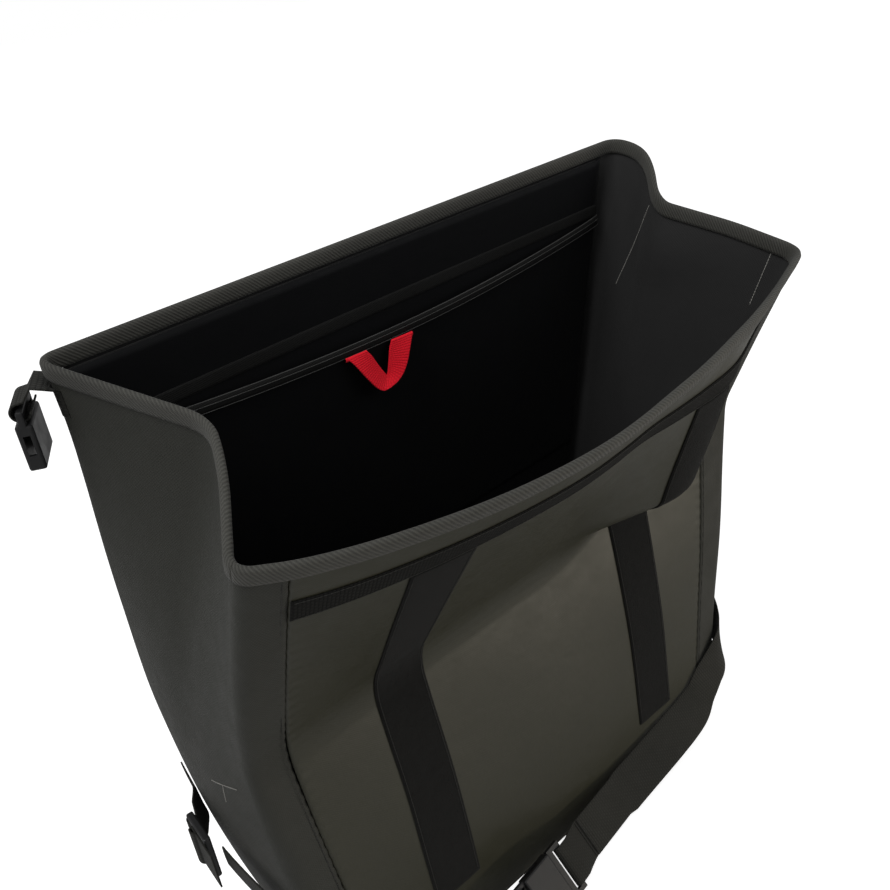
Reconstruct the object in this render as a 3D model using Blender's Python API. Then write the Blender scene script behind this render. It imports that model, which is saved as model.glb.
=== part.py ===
"""Roll-top front rack bag, unrolled and open: sewn fabric panels, boards, tapes, webbing and buckles.

Metres, +Z up, +X along the mouth, front face towards -Y, origin at the middle of the base's underside.
"""

import math

import bmesh
import bpy
import numpy as np
from mathutils import Matrix, Vector

for old in list(bpy.data.objects):
    bpy.data.objects.remove(old)

# The bag's body
WIDTH = 0.600
BASE_WIDTH = 0.500
RIM_LEAN = 0.028
RIM_DEPTH = 0.232
BASE_DEPTH = 0.240
FRONT_HEIGHT = 0.496
LEFT_RISE = 0.058
RIGHT_RISE = 0.082
RIM_BOW = 0.062
CREASE_HEIGHT = 0.285
CREASE_INSET = 0.056
CORNER_RADIUS = 0.015
LEFT_TUCK = 0.064
LEFT_TUCK_PLACE = 0.50
RIGHT_TUCK = 0.034
RIGHT_TUCK_PLACE = 0.64
TUCK_START = 0.150
LEFT_SWELL = 0.010
RIGHT_SWELL = 0.002
LEFT_BULGE = 0.016
RIGHT_BULGE = 0.006
FRONT_BULGE = 0.007
FRONT_SEAM_INSET = 0.044
BACK_SEAM_INSET = 0.018

# Cloth, boards and clearances
GAP = 0.0003
FABRIC = 0.0018
LINING = 0.0010
BASE_FABRIC = 0.0020
BASE_BOARD = 0.0030
BACK_BOARD = 0.0025
BOARD_INSET = 0.006
BOARD_CORNER = 0.020
LINING_INSET = 0.013

# Tapes and strips
TAPE = 0.0009
BINDING_DROP = 0.011
STRIP = 0.0014
HOOK_DROP = 0.034
HOOK_HEIGHT = 0.019
LOOP_STRIP_WIDTH = 0.050
LOOP_STRIP_LEFT = -0.22 * WIDTH
LOOP_STRIP_RIGHT = 0.262 * WIDTH
LOOP_STRIP_FOOT = 0.060

# Inner pocket and its pull loop
POCKET_LEFT_INSET = 0.024
POCKET_RIGHT_INSET = 0.019
POCKET_DROP = 0.0725
POCKET_SAG = 0.016
POCKET_GAPE = 0.016
POCKET_DEPTH = 0.260
HEM_DROP = 0.058
HEM_HEIGHT = 0.012
PULL_WEBBING = 0.020
PULL_SPACING = 0.050
PULL_DROP = 0.046
PULL_PLACE = -0.012

# Webbing and buckles
WEBBING = 0.0014
CLIP_WEBBING = 0.030
STRAP_WEBBING = 0.040
BUCKLE_RIM = 0.005
BUCKLE_THICK = 0.012
BUCKLE_BAR = 0.0055
BUCKLE_SLOT = 0.0050
BUCKLE_BODY = 0.036
BUCKLE_FRAME = 0.0050
BUCKLE_WALL = 0.0025
LOOP_RADIUS = 0.0046
TAB_REACH = 0.022
TAB_SEWN = 0.030
CLIP_DROP = 0.016
MALE_THICK = 0.0050
RUN_GAP = 0.0005
LOCK_LENGTH = 0.034
LOCK_THICK = 0.0060
LOCK_PLACE = 0.44
LOCK_HEIGHT = 0.152
LOCK_OFF = 0.018
LOCK_TAIL = 0.034
ANCHOR_REACH = 0.066
STRAP_CENTRE = -0.062
STRAP_LOW = 0.025
STRAP_BOW = 0.041
STRAP_TILT = 45.0
STRAP_SWING = 7.0
SEWN_HEIGHT = 0.215
SEWN_PLACE = 0.42
END_LAP = 0.028
END_FOLD = 0.064
RELEASE_RUN = 0.030


def material(name, colour, roughness, metallic=0.0):
    found = bpy.data.materials.get(name)
    if found:
        return found
    made = bpy.data.materials.new(name)
    made.use_nodes = True
    shader = made.node_tree.nodes["Principled BSDF"]
    shader.inputs["Base Color"].default_value = (*colour, 1)
    shader.inputs["Roughness"].default_value = roughness
    shader.inputs["Metallic"].default_value = metallic
    made.diffuse_color = (*colour, 1)
    return made


def finish(name, vertices, faces, look, smooth=True):
    """An object from points and faces, with its normals turned outwards."""
    mesh = bpy.data.meshes.new(name)
    mesh.from_pydata([tuple(p) for p in vertices], [], [tuple(f) for f in faces])
    work = bmesh.new()
    work.from_mesh(mesh)
    bmesh.ops.recalc_face_normals(work, faces=work.faces)
    work.to_mesh(mesh)
    work.free()
    if smooth:
        mesh.shade_smooth()
        mesh.set_sharp_from_angle(angle=math.radians(35))
    mesh.materials.append(look)
    obj = bpy.data.objects.new(name, mesh)
    bpy.context.scene.collection.objects.link(obj)
    return obj


def grid_faces(rows, columns, start=0, closed=False):
    """Quads of a grid whose points run column by column within each row."""
    last = columns if closed else columns - 1
    return [
        (
            start + i * columns + j,
            start + i * columns + (j + 1) % columns,
            start + (i + 1) * columns + (j + 1) % columns,
            start + (i + 1) * columns + j,
        )
        for i in range(rows - 1)
        for j in range(last)
    ]


def shell(name, outer, inner, look):
    """A closed sheet between two grids of points, each of the shape (rows, columns, 3)."""
    rows, columns = outer.shape[:2]
    count = rows * columns
    faces = grid_faces(rows, columns) + grid_faces(rows, columns, count)
    border = (
        [(0, j) for j in range(columns)]
        + [(i, columns - 1) for i in range(1, rows)]
        + [(rows - 1, j) for j in range(columns - 2, -1, -1)]
        + [(i, 0) for i in range(rows - 2, 0, -1)]
    )
    ring = [i * columns + j for i, j in border]
    for a, b in zip(ring, ring[1:] + ring[:1]):
        faces.append((a, b, b + count, a + count))
    points = np.concatenate([outer.reshape(-1, 3), inner.reshape(-1, 3)])
    return finish(name, points, faces, look)


def swept(name, sections, look, closed=False):
    """A solid whose cross-sections, of the shape (stations, points, 3), follow one another."""
    stations, count = sections.shape[:2]
    faces = grid_faces(stations, count, closed=True)
    if closed:
        last = (stations - 1) * count
        faces += [(last + j, last + (j + 1) % count, (j + 1) % count, j) for j in range(count)]
    else:
        faces += [tuple(range(count)), tuple(range((stations - 1) * count, stations * count))]
    return finish(name, sections.reshape(-1, 3), faces, look)


def unit(vectors):
    return vectors / np.linalg.norm(vectors, axis=-1, keepdims=True)


def smooth_path(points, steps):
    """A Catmull-Rom curve through the given points, with that many steps between each two."""
    given = np.array(points, float)
    ends = np.concatenate([[2 * given[0] - given[1]], given, [2 * given[-1] - given[-2]]])
    out = []
    for a, b, c, d in zip(ends, ends[1:], ends[2:], ends[3:]):
        bend, twist = 2 * a - 5 * b + 4 * c - d, 3 * b - a - 3 * c + d
        for t in np.arange(steps) / steps:
            out.append(0.5 * (2 * b + (c - a) * t + bend * t**2 + twist * t**3))
    return np.array(out + [given[-1]])


def webbing(name, middle, look, thickness=WEBBING):
    """A sheet of even thickness about a grid of points, moved both ways along its normals."""
    down = np.gradient(middle, axis=0)
    across = np.gradient(middle, axis=1)
    normal = unit(np.cross(down, across)) * thickness / 2
    return shell(name, middle + normal, middle - normal, look)


def flat_rows(path, across, width, columns=5):
    """Rows of points straight across a path."""
    offsets = np.linspace(-width / 2, width / 2, columns)
    across = np.broadcast_to(unit(np.asarray(across, float)), np.shape(path))
    return np.asarray(path)[:, None, :] + across[:, None, :] * offsets[None, :, None]


def block(name, low, high, look=None, bevel=0.0):
    """A box between two corners. With no look it is a cutter or a joined piece, and isn't shown."""
    low, high = Vector(low), Vector(high)
    mesh = bpy.data.meshes.new(name)
    work = bmesh.new()
    bmesh.ops.create_cube(work, size=1.0)
    bmesh.ops.scale(work, vec=high - low, verts=work.verts)
    bmesh.ops.translate(work, vec=(low + high) / 2, verts=work.verts)
    if bevel:
        bmesh.ops.bevel(
            work, geom=work.edges[:], offset=bevel, segments=2, profile=0.5, affect="EDGES"
        )
    work.to_mesh(mesh)
    work.free()
    obj = bpy.data.objects.new(name, mesh)
    bpy.context.scene.collection.objects.link(obj)
    if look:
        mesh.materials.append(look)
    else:
        obj.hide_render = True
        obj.display_type = "WIRE"
    return obj


def combine(obj, other, operation):
    modifier = obj.modifiers.new(other.name, "BOOLEAN")
    modifier.operation = operation
    modifier.object = other


def place(obj, origin, width_axis, length_axis):
    """Turns a buckle so that its own X is the webbing's width and its own Z its length, origin at its bar."""
    z = Vector(length_axis).normalized()
    x = Vector(width_axis)
    x = (x - z * x.dot(z)).normalized()
    y = z.cross(x)
    turn = Matrix((x, y, z)).transposed().to_4x4()
    target = Matrix.Translation(Vector(origin)) @ turn
    obj.matrix_world = target
    for modifier in obj.modifiers:
        modifier.object.matrix_world = target


# The outline is measured along the loop: front from left to right, right side, back, left side.
BACK = BASE_DEPTH / 2
FRONT_CHORD = BACK - RIM_DEPTH
LOOP = 2 * (WIDTH + BASE_DEPTH)
RIGHT_START, BACK_START, LEFT_START = WIDTH, WIDTH + BASE_DEPTH, 2 * WIDTH + BASE_DEPTH
WALL_FOOT = BASE_FABRIC + GAP
TAPER = (WIDTH - BASE_WIDTH) / 2


def hump(z):
    return np.sin(np.pi * np.clip(z / FRONT_HEIGHT, 0, 1))


def side_lines(z):
    """x of the left and the right corners at a height."""
    rise = z / FRONT_HEIGHT
    left = -BASE_WIDTH / 2 + (RIM_LEAN - TAPER) * rise - LEFT_SWELL * hump(z)
    right = BASE_WIDTH / 2 + (RIM_LEAN + TAPER) * rise + RIGHT_SWELL * hump(z)
    return left, right


def place_of(x, z):
    """Length along the loop of a point of the front face."""
    left, right = side_lines(z)
    return WIDTH * (x - left) / (right - left)


def back_rim(x):
    """Height of the back panel's edge."""
    left, right = side_lines(FRONT_HEIGHT)
    return FRONT_HEIGHT + LEFT_RISE + (RIGHT_RISE - LEFT_RISE) * (x - left) / (right - left)


def front_line(share, z):
    """y of the front face: straight at the base, drawn in at the crease and bowed out at the rim."""
    arch = np.sin(np.pi * np.clip(share, 0, 1))
    rim = FRONT_CHORD - RIM_BOW * arch
    crease = FRONT_CHORD + CREASE_INSET * (0.72 + 0.28 * np.sqrt(arch))
    low = np.clip(z / CREASE_HEIGHT, 0, 1)
    high = (z - CREASE_HEIGHT) / (FRONT_HEIGHT - CREASE_HEIGHT)
    lower = -BACK + (crease + BACK) * low - FRONT_BULGE * np.sin(np.pi * low) * np.sqrt(arch)
    return np.where(z <= CREASE_HEIGHT, lower, crease + (rim - crease) * high)


def tuck(z, depth):
    rise = np.clip((z - TUCK_START) / (FRONT_HEIGHT - TUCK_START), 0, 1)
    return depth * rise**1.5


def sharp_outline(along, z):
    """x, y and the rim's height at a length along the loop, before the corners are rounded."""
    a = np.mod(along, LOOP)
    left, right = side_lines(z)
    share = a / WIDTH
    x = left + (right - left) * share
    y = front_line(share, z)
    rim = np.full_like(x, FRONT_HEIGHT)
    t = (a - RIGHT_START) / BASE_DEPTH
    on = (a >= RIGHT_START) & (a < BACK_START)
    fold = np.minimum(t / RIGHT_TUCK_PLACE, (1 - t) / (1 - RIGHT_TUCK_PLACE))
    edge = front_line(np.ones_like(z), z)
    out = RIGHT_BULGE * hump(z) * np.sin(np.pi * t) - tuck(z, RIGHT_TUCK) * fold
    x = np.where(on, right + out, x)
    y = np.where(on, edge + (BACK - edge) * t, y)
    rim = np.where(on, FRONT_HEIGHT + RIGHT_RISE * t, rim)
    t = (a - BACK_START) / WIDTH
    on = (a >= BACK_START) & (a < LEFT_START)
    x = np.where(on, right + (left - right) * t, x)
    y = np.where(on, BACK, y)
    rim = np.where(on, FRONT_HEIGHT + RIGHT_RISE + (LEFT_RISE - RIGHT_RISE) * t, rim)
    t = (a - LEFT_START) / BASE_DEPTH
    on = a >= LEFT_START
    fold = np.minimum(t / LEFT_TUCK_PLACE, (1 - t) / (1 - LEFT_TUCK_PLACE))
    edge = front_line(np.zeros_like(z), z)
    out = LEFT_BULGE * hump(z) * np.sin(np.pi * t) - tuck(z, LEFT_TUCK) * fold
    x = np.where(on, left - out, x)
    y = np.where(on, BACK + (edge - BACK) * t, y)
    rim = np.where(on, FRONT_HEIGHT + LEFT_RISE * (1 - t), rim)
    return x, y, rim


def rounded(along, z):
    """The outline averaged over a window as long as two corner radii, which rounds corners and folds."""
    along, z = np.broadcast_arrays(np.asarray(along, float), np.asarray(z, float))
    found = [sharp_outline(along + step, z) for step in np.linspace(-1, 1, 11) * CORNER_RADIUS]
    return tuple(np.mean([f[i] for f in found], axis=0) for i in range(3))


def rim_height(along):
    return rounded(along, FRONT_HEIGHT)[2]


def wall(along, z, out=0.0):
    """Point of the bag's outer face, moved out by that much square to the outline in plan."""
    along, z = np.broadcast_arrays(np.asarray(along, float), np.asarray(z, float))
    x, y, _ = rounded(along, z)
    after, before = rounded(along + 0.001, z), rounded(along - 0.001, z)
    dx, dy = after[0] - before[0], after[1] - before[1]
    size = np.hypot(dx, dy)
    return np.stack([x + out * dy / size, y - out * dx / size, z], -1)


def stations(start, end, step):
    """Lengths along the loop, closer together round the corners and the side folds."""
    even = np.linspace(start, end, int(round((end - start) / step)) + 1)
    marks = []
    for turn in range(-1, 3):
        for mark in (0, RIGHT_START, BACK_START, LEFT_START):
            marks += [mark + turn * LOOP + d * CORNER_RADIUS for d in (-1.1, -0.7, -0.35, 0, 0.35, 0.7, 1.1)]
        for mark in (RIGHT_START + RIGHT_TUCK_PLACE * BASE_DEPTH, LEFT_START + LEFT_TUCK_PLACE * BASE_DEPTH):
            marks += [mark + turn * LOOP + d * CORNER_RADIUS for d in (-1, -0.4, 0.4, 1)]
    marks = np.array([m for m in marks if start + 0.004 < m < end - 0.004])
    keep = [e for e in even if not len(marks) or np.abs(marks - e).min() > 0.005 or e in (start, end)]
    return np.unique(np.round(np.concatenate([keep, marks]), 6))


def rows(along, low, high_drop, heights):
    """Heights for each station: the given ones up to the crease, and above it in step with the rim."""
    rim = rim_height(along)
    top = rim - high_drop
    out = [np.full_like(rim, low)]
    for height in heights:
        if height <= CREASE_HEIGHT:
            out.append(np.full_like(rim, height))
        else:
            share = (height - CREASE_HEIGHT) / (FRONT_HEIGHT - CREASE_HEIGHT)
            out.append(CREASE_HEIGHT + (top - CREASE_HEIGHT) * share)
    return np.array(out + [top])


WALL_ROWS = (0.035, 0.075, 0.115, 0.155, 0.195, 0.230, 0.262, CREASE_HEIGHT)
WALL_ROWS += (0.308, 0.335, 0.362, 0.390, 0.418, 0.445, 0.468, 0.484)


def panel(name, start, end, step, look):
    along = stations(start + GAP / 2, end - GAP / 2, step)
    z = rows(along, WALL_FOOT, 0.0, WALL_ROWS)
    return shell(name, wall(along, z), wall(along, z, -FABRIC), look)


def body_panels(cloth, canvas):
    left_seam, right_seam = FRONT_SEAM_INSET, WIDTH - FRONT_SEAM_INSET
    back_right, back_left = BACK_START + BACK_SEAM_INSET, LEFT_START - BACK_SEAM_INSET
    panel("front_panel", left_seam, right_seam, 0.015, cloth)
    panel("right_side_panel", right_seam, back_right, 0.015, canvas)
    panel("back_panel", back_right, back_left, 0.060, cloth)
    panel("left_side_panel", back_left, LOOP + left_seam, 0.015, canvas)
    along = stations(0.0, LOOP, 0.022)[:-1]
    rim = wall(along, np.zeros_like(along))
    low, high = rim.copy(), rim.copy()
    low[:, 2], high[:, 2] = 0.0, BASE_FABRIC
    sections = np.stack([low, high])
    count = len(along)
    faces = grid_faces(2, count, closed=True) + [tuple(range(count)), tuple(range(count, 2 * count))]
    finish("base_panel", sections.reshape(-1, 3), faces, canvas)


def rounded_plate(name, half_x, half_y, low, high, radius, look):
    """A flat board with round corners, lying between two heights."""
    outline = [
        (
            sx * (half_x - radius) + radius * math.cos(angle),
            sy * (half_y - radius) + radius * math.sin(angle),
        )
        for sx, sy, start in ((1, 1, 0), (-1, 1, 90), (-1, -1, 180), (1, -1, 270))
        for angle in np.radians(np.linspace(start, start + 90, 6))
    ]
    count = len(outline)
    points = [(x, y, z) for z in (low, high) for x, y in outline]
    faces = grid_faces(2, count, closed=True) + [tuple(range(count)), tuple(range(count, 2 * count))]
    return finish(name, points, faces, look)


def upright_sheet(name, inset, face, thickness, foot, look):
    """A flat sheet against the back, between its flared sides and up to just below the rim's tape."""
    low_x = np.array(side_lines(foot)) + np.array([inset, -inset])
    high_x = np.array(side_lines(FRONT_HEIGHT)) + np.array([inset, -inset])
    drop = BINDING_DROP + BUCKLE_WALL
    low = np.stack([low_x, np.full(2, face), np.full(2, foot)], -1)
    high = np.stack([high_x, np.full(2, face), back_rim(high_x) - drop], -1)
    far = np.stack([low, high])
    return shell(name, far - np.array([0, thickness, 0]), far, look)


def boards(board, lining):
    inset = FABRIC + BOARD_INSET
    floor = WALL_FOOT
    rounded_plate(
        "base_board",
        BASE_WIDTH / 2 - inset,
        BASE_DEPTH / 2 - inset,
        floor,
        floor + BASE_BOARD,
        BOARD_CORNER,
        board,
    )
    face = BACK - FABRIC - GAP
    foot = floor + BASE_BOARD + GAP
    upright_sheet("back_board", CORNER_RADIUS + BOARD_INSET / 2, face, BACK_BOARD, foot, board)
    upright_sheet("back_lining", LINING_INSET, face - BACK_BOARD - GAP, LINING, foot, lining)


def rim_binding(tape):
    """Tape folded over the rim: a U whose legs lie on both faces of the panels."""
    along = stations(0.0, LOOP, 0.014)[:-1]
    top = rim_height(along)
    outer, inner = GAP + TAPE, -(FABRIC + GAP + TAPE)
    middle = -FABRIC / 2
    profile = (
        (outer, BINDING_DROP),
        (outer, 0.0),
        (middle, -(GAP + 1.6 * TAPE)),
        (inner, 0.0),
        (inner, BINDING_DROP),
        (inner + TAPE, BINDING_DROP),
        (inner + TAPE, -GAP),
        (outer - TAPE, -GAP),
        (outer - TAPE, BINDING_DROP),
    )
    sections = []
    for out, drop in profile:
        flat = wall(along, top - max(drop, 0.0), out)
        flat[:, 2] = top - drop
        sections.append(flat)
    swept("rim_binding", np.stack(sections, 1), tape, closed=True)


def front_strips(hook, loop):
    start, end = FRONT_SEAM_INSET + 0.001, WIDTH - FRONT_SEAM_INSET - 0.001
    along = stations(start, end, 0.015)
    top = rim_height(along) - HOOK_DROP
    z = np.array([top - HOOK_HEIGHT, top - HOOK_HEIGHT / 2, top])
    shell("hook_strip", wall(along, z, GAP + STRIP), wall(along, z, GAP), hook)
    drop = HOOK_DROP + HOOK_HEIGHT + GAP
    for name, middle in (("left_loop_strip", LOOP_STRIP_LEFT), ("right_loop_strip", LOOP_STRIP_RIGHT)):
        x = middle + np.linspace(-LOOP_STRIP_WIDTH / 2, LOOP_STRIP_WIDTH / 2, 4)
        top = FRONT_HEIGHT - drop
        between = [h for h in WALL_ROWS if LOOP_STRIP_FOOT < h < top - 0.005]
        z = np.array([LOOP_STRIP_FOOT, *between, top])[:, None]
        along = place_of(x[None, :], z)
        shell(name, wall(along, z, GAP + STRIP), wall(along, z, GAP), loop)


def pocket(lining, tape, hem, red):
    """The pocket's front hangs from its two sewn ends, so its mouth sags down and forwards."""
    wall_face = BACK - FABRIC - BACK_BOARD - LINING - 3 * GAP
    share = np.linspace(0, 1, 25)
    arch = np.sin(np.pi * share)
    levels = np.array([0.0, 0.3, 0.55, 0.75, 0.9, 1.0])[:, None]
    mouth_left, mouth_right = side_lines(FRONT_HEIGHT)
    foot_left, foot_right = side_lines(FRONT_HEIGHT - POCKET_DEPTH)
    start = foot_left + (mouth_left - foot_left) * levels + POCKET_LEFT_INSET
    end = foot_right + (mouth_right - foot_right) * levels - POCKET_RIGHT_INSET
    x_grid = start + (end - start) * share
    x = x_grid[-1]
    rims = back_rim(x_grid)
    z = rims - POCKET_DROP - POCKET_DEPTH * (1 - levels) - POCKET_SAG * arch * levels
    y = wall_face - GAP - POCKET_GAPE * arch**0.7 * levels**2.2
    top, rim = z[-1], rims[-1]
    shell("pocket_panel", np.stack([x_grid, y - LINING, z], -1), np.stack([x_grid, y, z], -1), lining)

    lip = y[-1]
    outer, inner = -(LINING + 2 * GAP + TAPE), 0.0
    profile = (
        (outer, -BINDING_DROP),
        (outer, GAP + TAPE),
        (inner, GAP + TAPE),
        (inner, GAP),
        (-(LINING + 2 * GAP), GAP),
        (-(LINING + 2 * GAP), -BINDING_DROP),
    )
    lean = (y[-1] - y[-2]) / (z[-1] - z[-2])
    sections = [np.stack([x, lip + out + lean * min(rise, 0.0), top + rise], -1) for out, rise in profile]
    swept("pocket_binding", np.stack(sections, 1), tape)

    low = np.stack([x, np.full_like(x, wall_face), rim - HEM_DROP - HEM_HEIGHT], -1)
    high = low + np.array([0, 0, HEM_HEIGHT])
    far = np.stack([low, high])
    shell("pocket_hem_tape", far - np.array([0, TAPE, 0]), far, hem)

    # The pull loop: webbing sewn at both ends to the pocket's edge, hanging in a V.
    place_share = (PULL_PLACE - x[0]) / (x[-1] - x[0])
    edge_y = np.interp(place_share, share, lip) + outer - GAP - WEBBING / 2
    edge_z = np.interp(place_share, share, top) - GAP
    reach = PULL_SPACING / 2
    side = (1.0, 0.97, 0.66, 0.28, 0.0)
    fall = (0.0, 0.24, 0.58, 0.90, 1.0)
    route = [(-reach * a, 0.0, -PULL_DROP * b) for a, b in zip(side, fall)]
    route += [(-x, y, z) for x, y, z in route[-2::-1]]
    path = smooth_path(route, 4) + np.array([PULL_PLACE, edge_y, edge_z])
    turn = np.linspace(-1, 1, len(path))
    twist = np.clip(1 - turn**2, 0, 1)
    across = unit(np.stack([np.abs(turn) ** 0.6, -0.9 * twist, 0.35 * np.sign(turn) * twist], -1))
    path[:, 1] -= PULL_WEBBING / 2 * np.abs(across[:, 1]) + 0.001 * twist
    webbing("pull_loop", flat_rows(path, across, PULL_WEBBING), red)


def female_buckle(name, webbing, look):
    """Side-release buckle, female half: bar at the origin, mouth towards its own -Z."""
    half = webbing / 2 + BUCKLE_RIM
    top = -(BUCKLE_BAR / 2 + BUCKLE_SLOT)
    deep = BUCKLE_THICK / 2
    body = block(name, (-half, -deep, top - BUCKLE_BODY), (half, deep, top), look, 0.0018)
    frame = block(
        name + "_frame",
        (-half, -BUCKLE_FRAME / 2, top - 0.004),
        (half, BUCKLE_FRAME / 2, BUCKLE_BAR / 2),
        None,
        0.0012,
    )
    slot = block(
        name + "_slot", (-webbing / 2 - 0.001, -0.01, top), (webbing / 2 + 0.001, 0.01, -BUCKLE_BAR / 2)
    )
    mouth = block(
        name + "_mouth",
        (-half + BUCKLE_WALL, -BUCKLE_THICK / 2 + BUCKLE_WALL, top - BUCKLE_BODY - 0.005),
        (half - BUCKLE_WALL, BUCKLE_THICK / 2 - BUCKLE_WALL, top - 0.006),
    )
    window = block(
        name + "_window",
        (-half - 0.005, -BUCKLE_THICK / 2 + BUCKLE_WALL + 0.001, top - 0.66 * BUCKLE_BODY),
        (half + 0.005, BUCKLE_THICK / 2 - BUCKLE_WALL - 0.001, top - 0.22 * BUCKLE_BODY),
    )
    combine(body, frame, "UNION")
    combine(body, slot, "DIFFERENCE")
    combine(body, mouth, "DIFFERENCE")
    combine(body, window, "DIFFERENCE")
    return body


def male_buckle(name, webbing, look):
    """Male half: bar at the origin, its two prongs and its guide towards its own -Z."""
    half = webbing / 2 + BUCKLE_RIM
    shoulder = -(BUCKLE_BAR / 2 + BUCKLE_SLOT + 0.006)
    reach = half - BUCKLE_WALL - RUN_GAP
    tip = shoulder - 0.74 * BUCKLE_BODY
    side = [
        (half, BUCKLE_BAR / 2),
        (half, shoulder),
        (reach, shoulder),
        (reach, shoulder - 0.004),
        (reach - 0.002, shoulder - 0.010),
        (reach - 0.001, tip + 0.012),
        (reach, tip + 0.009),
        (reach - 0.002, tip),
        (reach - 0.006, tip),
        (reach - 0.006, shoulder - 0.003),
        (0.0035, shoulder - 0.003),
        (0.0025, tip - 0.002),
    ]
    outline = side + [(-x, z) for x, z in reversed(side)]
    count = len(outline)
    points = [(x, y, z) for y in (-MALE_THICK / 2, MALE_THICK / 2) for x, z in outline]
    faces = grid_faces(2, count, closed=True) + [tuple(range(count)), tuple(range(count, 2 * count))]
    body = finish(name, points, faces, look, smooth=False)
    slot = block(
        name + "_slot",
        (-webbing / 2 - 0.001, -0.01, -(BUCKLE_BAR / 2 + BUCKLE_SLOT)),
        (webbing / 2 + 0.001, 0.01, -BUCKLE_BAR / 2),
    )
    combine(body, slot, "DIFFERENCE")
    return body


def ladder_lock(name, webbing, look):
    """Ladder lock: a frame with two slots and a bar between, which grips webbing wound through it."""
    half = webbing / 2 + BUCKLE_RIM
    body = block(
        name,
        (-half, -LOCK_THICK / 2, BUCKLE_BAR / 2 - LOCK_LENGTH),
        (half, LOCK_THICK / 2, BUCKLE_BAR / 2),
        look,
        0.0014,
    )
    first = block(
        name + "_slot_a",
        (-webbing / 2 - 0.001, -0.01, -BUCKLE_BAR / 2 - BUCKLE_SLOT),
        (webbing / 2 + 0.001, 0.01, -BUCKLE_BAR / 2),
    )
    second = block(
        name + "_slot_b",
        (-webbing / 2 - 0.001, -0.01, 2 * BUCKLE_BAR / 2 - LOCK_LENGTH + BUCKLE_BAR / 2),
        (webbing / 2 + 0.001, 0.01, -1.5 * BUCKLE_BAR - BUCKLE_SLOT),
    )
    combine(body, first, "DIFFERENCE")
    combine(body, second, "DIFFERENCE")
    return body


def bar_loop(centre, along, out, sweep, start=90.0):
    """Points of webbing wound round a bar: along and out are the plane's two axes, the angles in degrees."""
    angles = np.radians(np.linspace(start, start + sweep, 13))[:, None]
    radius = LOOP_RADIUS + WEBBING / 2
    return np.asarray(centre) + radius * (np.cos(angles) * along + np.sin(angles) * out)


def corner_clips(web, plastic):
    """A female buckle hangs on a webbing tab sewn round each back corner, just below the rim's tape."""
    for side, corner in (("left", LEFT_START), ("right", BACK_START)):
        rim = float(rim_height(corner))
        high = rim - BINDING_DROP - 0.002
        out = wall(corner, high, 1.0) - wall(corner, high)
        up = np.array([0.0, 0.0, 1.0])
        across = np.cross(up, out)
        bar = wall(corner, high) + out * TAB_REACH - up * CLIP_DROP
        radius = LOOP_RADIUS + WEBBING / 2
        offsets = np.linspace(-CLIP_WEBBING / 2, CLIP_WEBBING / 2, 9)
        levels = high - TAB_SEWN + TAB_SEWN * np.array([0.0, 0.25, 0.5, 0.7])
        sewn = wall(corner + offsets[None, :], levels[:, None], 2 * GAP + WEBBING / 2)
        top = bar + up * radius
        front = wall(corner, high)
        free = np.array(
            [
                front + out * 0.0045 - up * 0.003,
                front + out * 0.0105 - up * 0.001,
                top - out * 0.005 + up * 0.001,
            ]
        )
        path = np.concatenate([free, bar_loop(bar, out, up, -262)])
        grid = np.concatenate([sewn, flat_rows(path, across, CLIP_WEBBING, 9)])
        webbing(side + "_clip_tab", grid, web)
        clip = female_buckle(side + "_clip", CLIP_WEBBING, plastic)
        place(clip, bar, across, up)


def wall_rows(points, width, steps=5, columns=5):
    """Rows of webbing along the walls, from (along, height, stand-off, degrees its top leans to the wall)."""
    route = smooth_path(points, steps)
    step = np.gradient(route[:, :2], axis=0)
    step = step / np.hypot(step[:, 0], step[:, 1])[:, None]
    lean = np.radians(route[:, 3:4])
    offsets = np.linspace(-width / 2, width / 2, columns)
    along = route[:, :1] - step[:, 1:] * offsets * np.cos(lean)
    z = route[:, 1:2] + step[:, :1] * offsets * np.cos(lean)
    return wall(along, z, route[:, 2:3] - step[:, :1] * offsets * np.sin(lean))


def side_lock(web, plastic):
    """The ladder lock on the left side, its short anchor strap and the webbing wound round its middle bar."""
    up = np.array([0.0, 0.0, 1.0])
    radius = LOOP_RADIUS + WEBBING / 2
    flat = GAP + WEBBING / 2
    at = LEFT_START + LOCK_PLACE * BASE_DEPTH
    bar = wall(at, LOCK_HEIGHT, LOCK_OFF)
    onward = unit(wall(at + 0.01, LOCK_HEIGHT) - wall(at - 0.01, LOCK_HEIGHT))
    away = unit(wall(at, LOCK_HEIGHT, 0.01) - wall(at, LOCK_HEIGHT))
    lock = ladder_lock("left_ladder_lock", STRAP_WEBBING, plastic)
    place(lock, bar, up, -onward)
    sewn = wall_rows(
        [
            (at - ANCHOR_REACH, LOCK_HEIGHT, flat, 0),
            (at - 0.70 * ANCHOR_REACH, LOCK_HEIGHT, flat, 0),
            (at - 0.45 * ANCHOR_REACH, LOCK_HEIGHT, flat + GAP, 0),
            (at - 0.21 * ANCHOR_REACH, LOCK_HEIGHT, (LOCK_OFF - radius) * 0.62, 0),
        ],
        STRAP_WEBBING,
    )
    hook = flat_rows(bar_loop(bar, onward, away, 235, -90), up, STRAP_WEBBING)
    webbing("left_anchor_strap", np.concatenate([sewn, hook]), web)
    middle = bar + onward * (LOCK_LENGTH - BUCKLE_BAR) * 0.37
    wound = bar_loop(middle, onward, away, -200, 190)
    tail = np.array([middle + onward * LOCK_TAIL * d + away * radius for d in (1.0, 0.6, 0.24)])
    webbing("left_strap_winding", flat_rows(np.concatenate([tail, wound[5:]]), up, STRAP_WEBBING), web)
    return at + LOCK_LENGTH


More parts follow.
